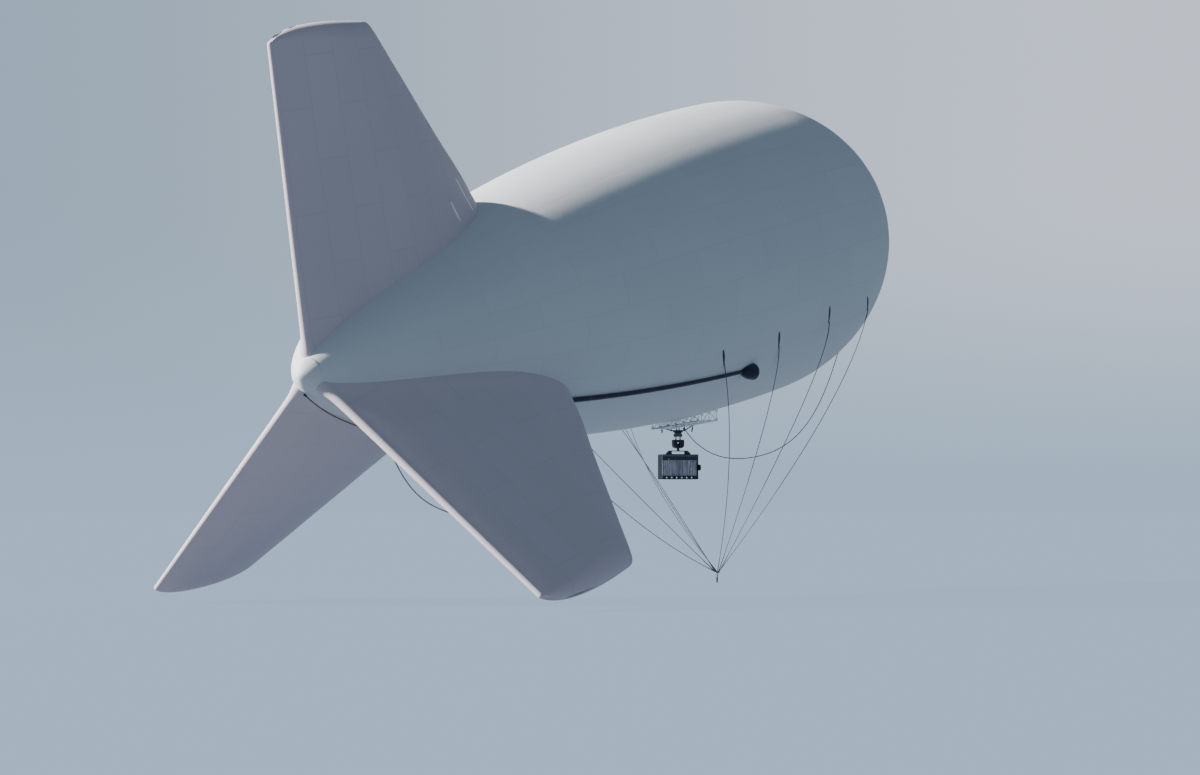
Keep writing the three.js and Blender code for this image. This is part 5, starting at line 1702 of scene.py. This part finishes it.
class AEROSTAT_OT_payload(Operator):
    """Build the tilting payload box with its neck and bracket"""
    bl_idname = "aerostat.payload"
    bl_label = "Payload box"

    def execute(self, context):
        payload = context.scene.aerostat_payload
        width, self.depth, height = payload.box
        self.half, self.face = width / 2, -self.depth / 2
        self.top, self.bottom = payload.box_top, payload.box_top - height
        self.rails = self.bottom + STRIP_HEIGHT, self.top - BAND_HEIGHT
        matrix = payload_matrix(context)
        for name, skin, material, replaced, slot in (
                ("tilt_neck_arm", self.neck(), "paint", ["tilt_neck"], "dark_paint"),
                ("bridge_bracket_plate", self.bracket(), "paint", ["bridge_bracket"], "dark_paint"),
                ("box_case_shell", self.case(), "box", ["box_case"], "dark_paint"),
                # A pale bar painted as the highlight of the case's lit left side
                ("box_case_edge_highlight", self.edge_highlight_bar(), "trim", (), "dark_paint"),
                ("box_band_cover", self.band(), "navy", ["box_band"], "dark_paint"),
                # Pale trim lines; the one along the panel's top is a painted highlight
                ("box_band_highlight_trim", self.band_trim_and_highlights(), "trim", (), "dark_paint"),
                ("ribbed_panel_fins", self.ribs(), "slate", ["ribbed_panel"], "slate_panel"),
                ("lamp_strip_bar", self.strip(), "black", ["lamp_strip"], "black_fitting"),
                ("lamp_strip_windows", self.windows(), "lamp", (), "black_fitting"),
                ("side_knob_cover", self.knob(), "black", ["side_knob"], "black_fitting")):
            piece(name, moved(skin, matrix), material, replaced, 30, TILT_BODY)
        return {"FINISHED"}

    def neck(self, width=0.070, radius=0.048):
        """A round head on its pin, and the arm below it."""
        half, rim = width / 2, 0.004
        profile = [(0, 0), (radius - rim, 0), (radius, rim), (radius, width - rim),
                   (radius - rim, width), (0, width)]
        head = lathe(profile, 36, (-half, 0, TILT_AT), (1, 0, 0))
        arm = block((-half, -0.040, BRACKET.top + SEAT), (half, 0.040, TILT_AT), 0.005, 0.006)
        pin = strut((-FORK.cheek, 0, TILT_AT), (FORK.cheek, 0, TILT_AT), 0.018, 24)
        return joined([head, arm, pin])

    def bracket(self):
        """A bridge with a long slot, its ends bolted to the case."""
        b = BRACKET
        shoulder, low, high = b.bottom + 0.034, b.bottom + 0.012, b.top - 0.024
        outer = [(-b.base, b.bottom), (b.base, b.bottom), (b.base, shoulder), (b.crown, b.top),
                 (-b.crown, b.top), (-b.base, shoulder)]
        inner = [(-b.slot, low), (b.slot, low), (b.slot, low + 0.03), (b.slot, high),
                 (-b.slot, high), (-b.slot, low + 0.03)]
        depth = b.depth / 2
        body = frame_prism(softened(outer, 0.012), softened(inner, 0.014), -depth, depth)
        heads = [(side * 0.315, way, b.bottom + 0.036) for side in (-1, 1) for way in (-0.035, 0.035)]
        return joined([body, bolt_heads(heads, (0, 0, 1), 0.010, 0.008)])

    def case(self):
        """The case: a rounded box whose face is sunk for the panel, with a cover behind."""
        half, face, back, sunk = self.half, self.face, self.depth / 2, self.face + PANEL_RECESS
        outer = softened(rectangle(half, self.bottom, self.top), 0.012)
        inner = softened(rectangle(half - PANEL_FRAME / 2, *self.rails), 0.004)
        cover = softened(rectangle(half - 0.06, self.bottom + 0.06, self.top - 0.06), 0.03)
        heads = [(x, back + 0.0048, z) for z in (self.bottom + 0.08, self.top - 0.08)
                 for x in np.linspace(-half + 0.08, half - 0.08, 5)]
        parts = [
            frame_prism(outer, inner, face, sunk + 0.004), prism(outer, sunk + 0.003, back, 0.006),
            prism(cover, back - 0.002, back + 0.005, 0.002), bolt_heads(heads, (0, 1, 0), 0.008, 0.004)]
        for side in (-1, 1):
            for at in (self.top - 0.12, (self.top + self.bottom) / 2, self.bottom + 0.12):
                heads = [(side * half, way, at) for way in (face + 0.06, back - 0.06)]
                parts.append(bolt_heads(heads, (side, 0, 0), 0.007, 0.004))
        return joined(parts)

    def edge_highlight_bar(self):
        """A pale upright bar on the face's left edge: a painted highlight standing for the case's lit left
        side.
        """
        low, high = self.rails
        return block((-self.half + 0.004, self.face - 0.004, low + 0.006),
                     (-self.half + 0.030, self.face + 0.001, high - 0.004), 0.0015, 0.003)

    def band(self):
        """The top band: a flat cover with a rolled lower lip and two end bolts."""
        half, low = self.half, self.rails[1]
        front, back = self.face - BAND_PROUD - SEAT, self.face - SEAT
        plate = block((-half, front, low + 0.012), (half, back, self.top), 0.004, 0.008)
        lip = block((-half, front - 0.004, low), (half, back, low + 0.014), 0.003, 0.004)
        heads = [(side * (half - 0.03), front, low + 0.085) for side in (-1, 1)]
        return joined([plate, lip, bolt_heads(heads, (0, -1, 0), 0.009, 0.005)])

    def band_trim_and_highlights(self):
        """Thin pale lines along the band and above and below the panel, and a small round lens; the line
        along the panel's top is a painted highlight.
        """
        front, (low, high) = self.face - BAND_PROUD - SEAT, self.rails
        rail = self.half - PANEL_FRAME / 2 + 0.004, self.face - 0.002, self.face + 0.006
        # The rail along the panel's top is a painted highlight
        line, *rails = (
            block((-reach, near, at - rise), (reach, far, at + rise), 0.001, 0.002)
            for reach, near, far, at, rise in (
                (self.half - 0.02, front - 0.0025, front + 0.001, self.top - 0.045, 0.004),
                (*rail, high - 0.012, 0.005), (*rail, low + 0.012, 0.005)))
        lens = lathe([(0, 0), (0.019, 0), (0.019, 0.006), (0.013, 0.010), (0, 0.012)], 24,
                     (-0.350, front - 0.003, high + 0.022), (0, -1, 0), soft=0.002)
        return joined([line, lens, *rails])

    def ribs(self):
        """The cooling panel: a back plate, upright ribs with thin edges, and two rails. A rib's
        ends shift by two sines of its place."""
        half = self.half - PANEL_FRAME / 2 - PANEL_GAP
        low, high = self.rails[0] + PANEL_GAP, self.rails[1] - PANEL_GAP
        back = self.face + PANEL_RECESS - SEAT
        front = back - 0.009
        parts = [block((-half, back - 0.010, low), (half, back, high), 0.001, 0.002)]
        for at in np.linspace(-half + 0.020, half - 0.020, PANEL_RIBS):
            wave = 0.010 * math.sin(at * 37.0) + 0.008 * math.sin(at * 91.0)
            foot, head = low + 0.028 + abs(wave) * 1.6, high - 0.040 + wave
            rib = (at - 0.004, back - 0.033, foot), (at + 0.004, front, head)
            parts.append(block(*rib, 0.0015, 0.003))
        for at in (low + 0.012, high - 0.022):
            rail = (-half + 0.004, back - 0.024, at - 0.006), (half - 0.004, front, at + 0.006)
            parts.append(block(*rail, 0.001, 0.002))
        return joined(parts)

    def lamps(self, profile, sides, soft=0.0):
        """The same turned shape at each of the six lamps."""
        front, middle = self.face - STRIP_PROUD - SEAT, self.bottom + STRIP_HEIGHT / 2
        return [lathe(profile, sides, (across, front, middle), (0, -1, 0), soft) for across in LAMPS]

    def strip(self):
        """The dark bar along the lower edge, with a bezel for each lamp."""
        front, back = self.face - STRIP_PROUD - SEAT, self.face - SEAT
        bar = block((-self.half, front, self.bottom), (self.half, back, self.rails[0]), 0.004, 0.008)
        bezel = [(0.030, -0.002), (0.030, 0.006), (0.026, 0.0085), (0.022, 0.006), (0.022, -0.002)]
        return joined([bar, *self.lamps(bezel, 30, 0.0015)])

    def windows(self):
        """The six lamps' domed windows: the dome's height is a quarter circle's over its radius."""
        angle = np.linspace(0, math.pi / 2, 8)
        dome = [(0, -0.003), *zip(0.0225 * np.cos(angle), 0.004 + 0.004 * np.sin(angle))]
        return joined(self.lamps(dome, 28))

    def knob(self):
        """A stepped round cover on the box's side, with a ribbed rim."""
        neck, head = KNOB.neck, KNOB.head
        near = KNOB.neck_length - 0.005
        far = near + KNOB.head_length
        profile = [(0, 0), (neck, 0), (neck, near), (head - 0.006, near), (head, near + 0.006)]
        for at in np.linspace(near + 0.014, far - 0.016, 5):
            profile += [(head, at - 0.003), (head - 0.003, at), (head, at + 0.003)]
        profile += [(head, far - 0.007), (head - 0.008, far), (0.040, far), (0.036, far - 0.005),
                    (0, far - 0.005)]
        return lathe(profile, 48, (self.half + SEAT, KNOB.ahead, KNOB.height), (1, 0, 0))


# The cables' glands and clips

GLAND = SimpleNamespace(length=0.090, root=0.034, tip=0.020)
CLIP = SimpleNamespace(width=0.064, thick=0.028, ahead=0.400, outs={"upper": 1.720, "lower": 2.620})


class AEROSTAT_OT_fittings(Operator):
    """Build the cables' glands and the cord's clips"""
    bl_idname = "aerostat.fittings"
    bl_label = "Cable fittings"

    def execute(self, context):
        hull, fins = context.scene.aerostat_hull, context.scene.aerostat_fins
        glands = {}
        for name, route in (("cable_gland_truss", POWER_ROUTE), ("cable_gland_hull", POWER_ROUTE[::-1]),
                            ("cord_gland_tail", TAIL_ROUTE), ("cord_gland_fin", TAIL_ROUTE[::-1])):
            glands[name] = gland_skin(*np.array(route[:2]))
        stem = gland_stem_skin(*np.array(POWER_ROUTE[:2]))
        glands["cable_gland_truss"] = joined([glands["cable_gland_truss"], stem])
        for name, skin in glands.items():
            piece(f"{name}_moulding", skin, "black", [name], 40)
        for name, out in CLIP.outs.items():
            piece(f"cord_clip_{name}_moulding", moved(clip_skin(out, fins), hull_matrix(hull)), "black",
                  [f"cord_clip_{name}"])
        return {"FINISHED"}


def gland_stem_skin(end, following):
    """The truss gland's upright stem, from its boot up to the truss, and a nut on it."""
    bend = end + unit(end - following) * GLAND.length * 0.6
    top = np.array([bend[0], bend[1], end[2] + 0.160 - SEAT])
    nut = lathe([(0, 0), (0.027, 0), (0.027, 0.022), (0, 0.022)], 6, top - (0, 0, 0.034))
    return joined([strut(bend, top, GLAND.tip, 20), nut])


def gland_skin(end, following):
    """A cable's strain relief: a tapered, ribbed boot between its root's collar and its tip."""
    way = unit(following - end)
    length, root, collar = GLAND.length, GLAND.root, 0.018
    along = np.linspace(collar, length, 25)
    taper = root - 0.003 + (GLAND.tip - root + 0.003) * (along - collar) / (length - collar)
    taper = taper - 0.0022 * (np.arange(25) % 4 == 3)
    profile = [(0, 0), (root - 0.003, 0), (root, 0.003), (root, 0.015), (root - 0.002, 0.017),
               *zip(taper, along), (0, length)]
    return lathe(profile, 28, end - way * (length + SEAT), way, wear_edges=False)


def clip_skin(out, fins):
    """A moulded clip on the fin's inner face: a rounded foot, a raised saddle and two screws."""
    edge, _ = trail_edge(out, fins)
    ahead = edge + CLIP.ahead
    half = float(section_half(ahead, out, fins))
    below = fins.spread - math.pi / 2
    outwards = np.array([0, -math.cos(below), -math.sin(below)])
    inner = np.array([0, math.sin(below), -math.cos(below)])
    w, t = CLIP.width / 2, CLIP.thick
    foot = block((-w, -w, -0.010), (w, w, 0.010), 0.003, 0.006)
    saddle = block((-w * 0.55, -w * 0.8, 0.006), (w * 0.55, w * 0.8, t - 0.002), 0.004, 0.006)
    heads = bolt_heads([(0.024, 0.0, 0.010), (-0.024, 0.0, 0.010)], (0, 0, 1), 0.006, 0.004)
    across = outwards * np.sign(np.cross((1, 0, 0), outwards) @ inner)
    turn = np.eye(4)
    turn[:3, 1], turn[:3, 2] = across, inner
    turn[:3, 3] = (ahead, 0, 0) + outwards * out + inner * half
    return moved(joined([foot, saddle, heads]), turn)


# The stage

# The backdrop's direction to the camera's right
BACKDROP_RIGHT = (0.5057, -0.8627, 0.0)


class AEROSTAT_OT_stage(Operator):
    """Lay the pale floor and set the soft light"""
    bl_idname = "aerostat.stage"
    bl_label = "Stage"

    def execute(self, context):
        stage = context.scene.aerostat_stage
        self.lay_floor(context, stage)
        self.light_backdrop(context, stage)
        self.hang_key(context, stage)
        return {"FINISHED"}

    def lay_floor(self, context, stage):
        """A floor of rings that grow outwards to the horizon. The camera sees it in the horizon's
        colour, and the object in the soft light that it gives back."""
        radii = np.concatenate([[0.0], np.geomspace(4, 1500, 24)])[:, None]
        turn = full_turn(96)
        grid = np.stack(
            np.broadcast_arrays(radii * np.cos(turn), radii * np.sin(turn), stage.floor), -1)
        skin = grid_skin(grid, ends=("open", "open"))
        mesh = bpy.data.meshes.new("floor")
        mesh.from_pydata(skin.points.tolist(), [], skin.faces)
        finish = Finish("Pale floor", 0.9)
        graph = finish.graph
        cloud = finish.shared("weather", Scale=0.05)["Value"]
        tone = graph.blend(cloud, *shades(stage.floor_colour, 1, 0.985))
        seen = graph.add("LightPath").outputs["Is Camera Ray"]
        shown = graph.blend(seen, colour(stage.floor_glow), colour(stage.horizon))
        finish.set(Base_Color=graph.blend(seen, tone, *shades(stage.horizon, 0.02)),
                   Emission_Color=shown, Emission_Strength=1.0, Specular_IOR_Level=0.0)
        mesh.materials.append(finish.material)
        floor = bpy.data.objects.new("floor", mesh)
        context.scene.collection.objects.link(floor)

    def light_backdrop(self, context, stage):
        """An even light from all around. The backdrop that the camera sees is paler than it, and
        paler still on the right, and blends into the horizon's colour low down."""
        world = bpy.data.worlds.new("Soft light")
        world.use_nodes = True
        graph = Graph(world.node_tree)
        background = world.node_tree.nodes["Background"]
        way = graph.add("TexCoord").outputs["Generated"]
        across = graph.add("VectorMath", {0: way, 1: BACKDROP_RIGHT}, operation="DOT_PRODUCT")
        share = graph.span(across.outputs["Value"], -0.24, 0.24)
        high = graph.blend(share, colour(stage.backdrop_left), colour(stage.backdrop_right))
        level = graph.span(graph.split(way)["Z"], 0.0, 0.12)
        shown = graph.blend(level, colour(stage.horizon), high)
        seen = graph.add("LightPath").outputs["Is Camera Ray"]
        graph.feed(background.inputs["Color"], graph.blend(seen, colour(stage.fill), shown))
        background.inputs["Strength"].default_value = 1.0
        context.scene.world = world

    def hang_key(self, context, stage):
        """One broad key from behind and to port."""
        light = bpy.data.lights.new("key", "SUN")
        light.energy = stage.sun_strength
        light.angle = stage.sun_size
        light.color = (1.0, 0.985, 0.965)
        key = bpy.data.objects.new("key", light)
        level = math.cos(stage.sun_height)
        towards = Vector((level * math.cos(stage.sun_azimuth), level * math.sin(stage.sun_azimuth),
                          math.sin(stage.sun_height)))
        key.rotation_euler = towards.to_track_quat("Z", "Y").to_euler()
        key.location = towards * 60
        context.scene.collection.objects.link(key)


class AEROSTAT_PT_panel(Panel):
    """The aerostat's pieces, in the order in which they are built"""
    bl_idname = "AEROSTAT_PT_panel"
    bl_label = "Aerostat"
    bl_space_type = "VIEW_3D"
    bl_region_type = "UI"
    bl_category = "Aerostat"

    def draw(self, context):
        for step in STEPS:
            self.layout.operator(step.bl_idname)


SETTINGS = {
    "aerostat_hull": AerostatHull, "aerostat_fins": AerostatFins, "aerostat_rigging": AerostatRigging,
    "aerostat_payload": AerostatPayload, "aerostat_finishes": AerostatFinishes,
    "aerostat_stage": AerostatStage,
}
STEPS = [
    AEROSTAT_OT_camera, AEROSTAT_OT_cords, AEROSTAT_OT_envelope, AEROSTAT_OT_nose,
    AEROSTAT_OT_fins, AEROSTAT_OT_ducts, AEROSTAT_OT_bridle, AEROSTAT_OT_truss,
    AEROSTAT_OT_gimbal, AEROSTAT_OT_payload, AEROSTAT_OT_fittings, AEROSTAT_OT_stage,
]


def register():
    """Adds the settings, the operators and the panel."""
    for name, group in SETTINGS.items():
        bpy.utils.register_class(group)
        setattr(bpy.types.Scene, name, PointerProperty(type=group))
    for step in [*STEPS, AEROSTAT_PT_panel]:
        bpy.utils.register_class(step)


def unregister():
    """Takes them away again."""
    for step in [AEROSTAT_PT_panel, *reversed(STEPS)]:
        bpy.utils.unregister_class(step)
    for name, group in reversed(SETTINGS.items()):
        delattr(bpy.types.Scene, name)
        bpy.utils.unregister_class(group)


def main():
    """Builds everything in order."""
    register()
    for step in STEPS:
        area, action = step.bl_idname.split(".")
        getattr(getattr(bpy.ops, area), action)()


if __name__ == "__main__":
    main()
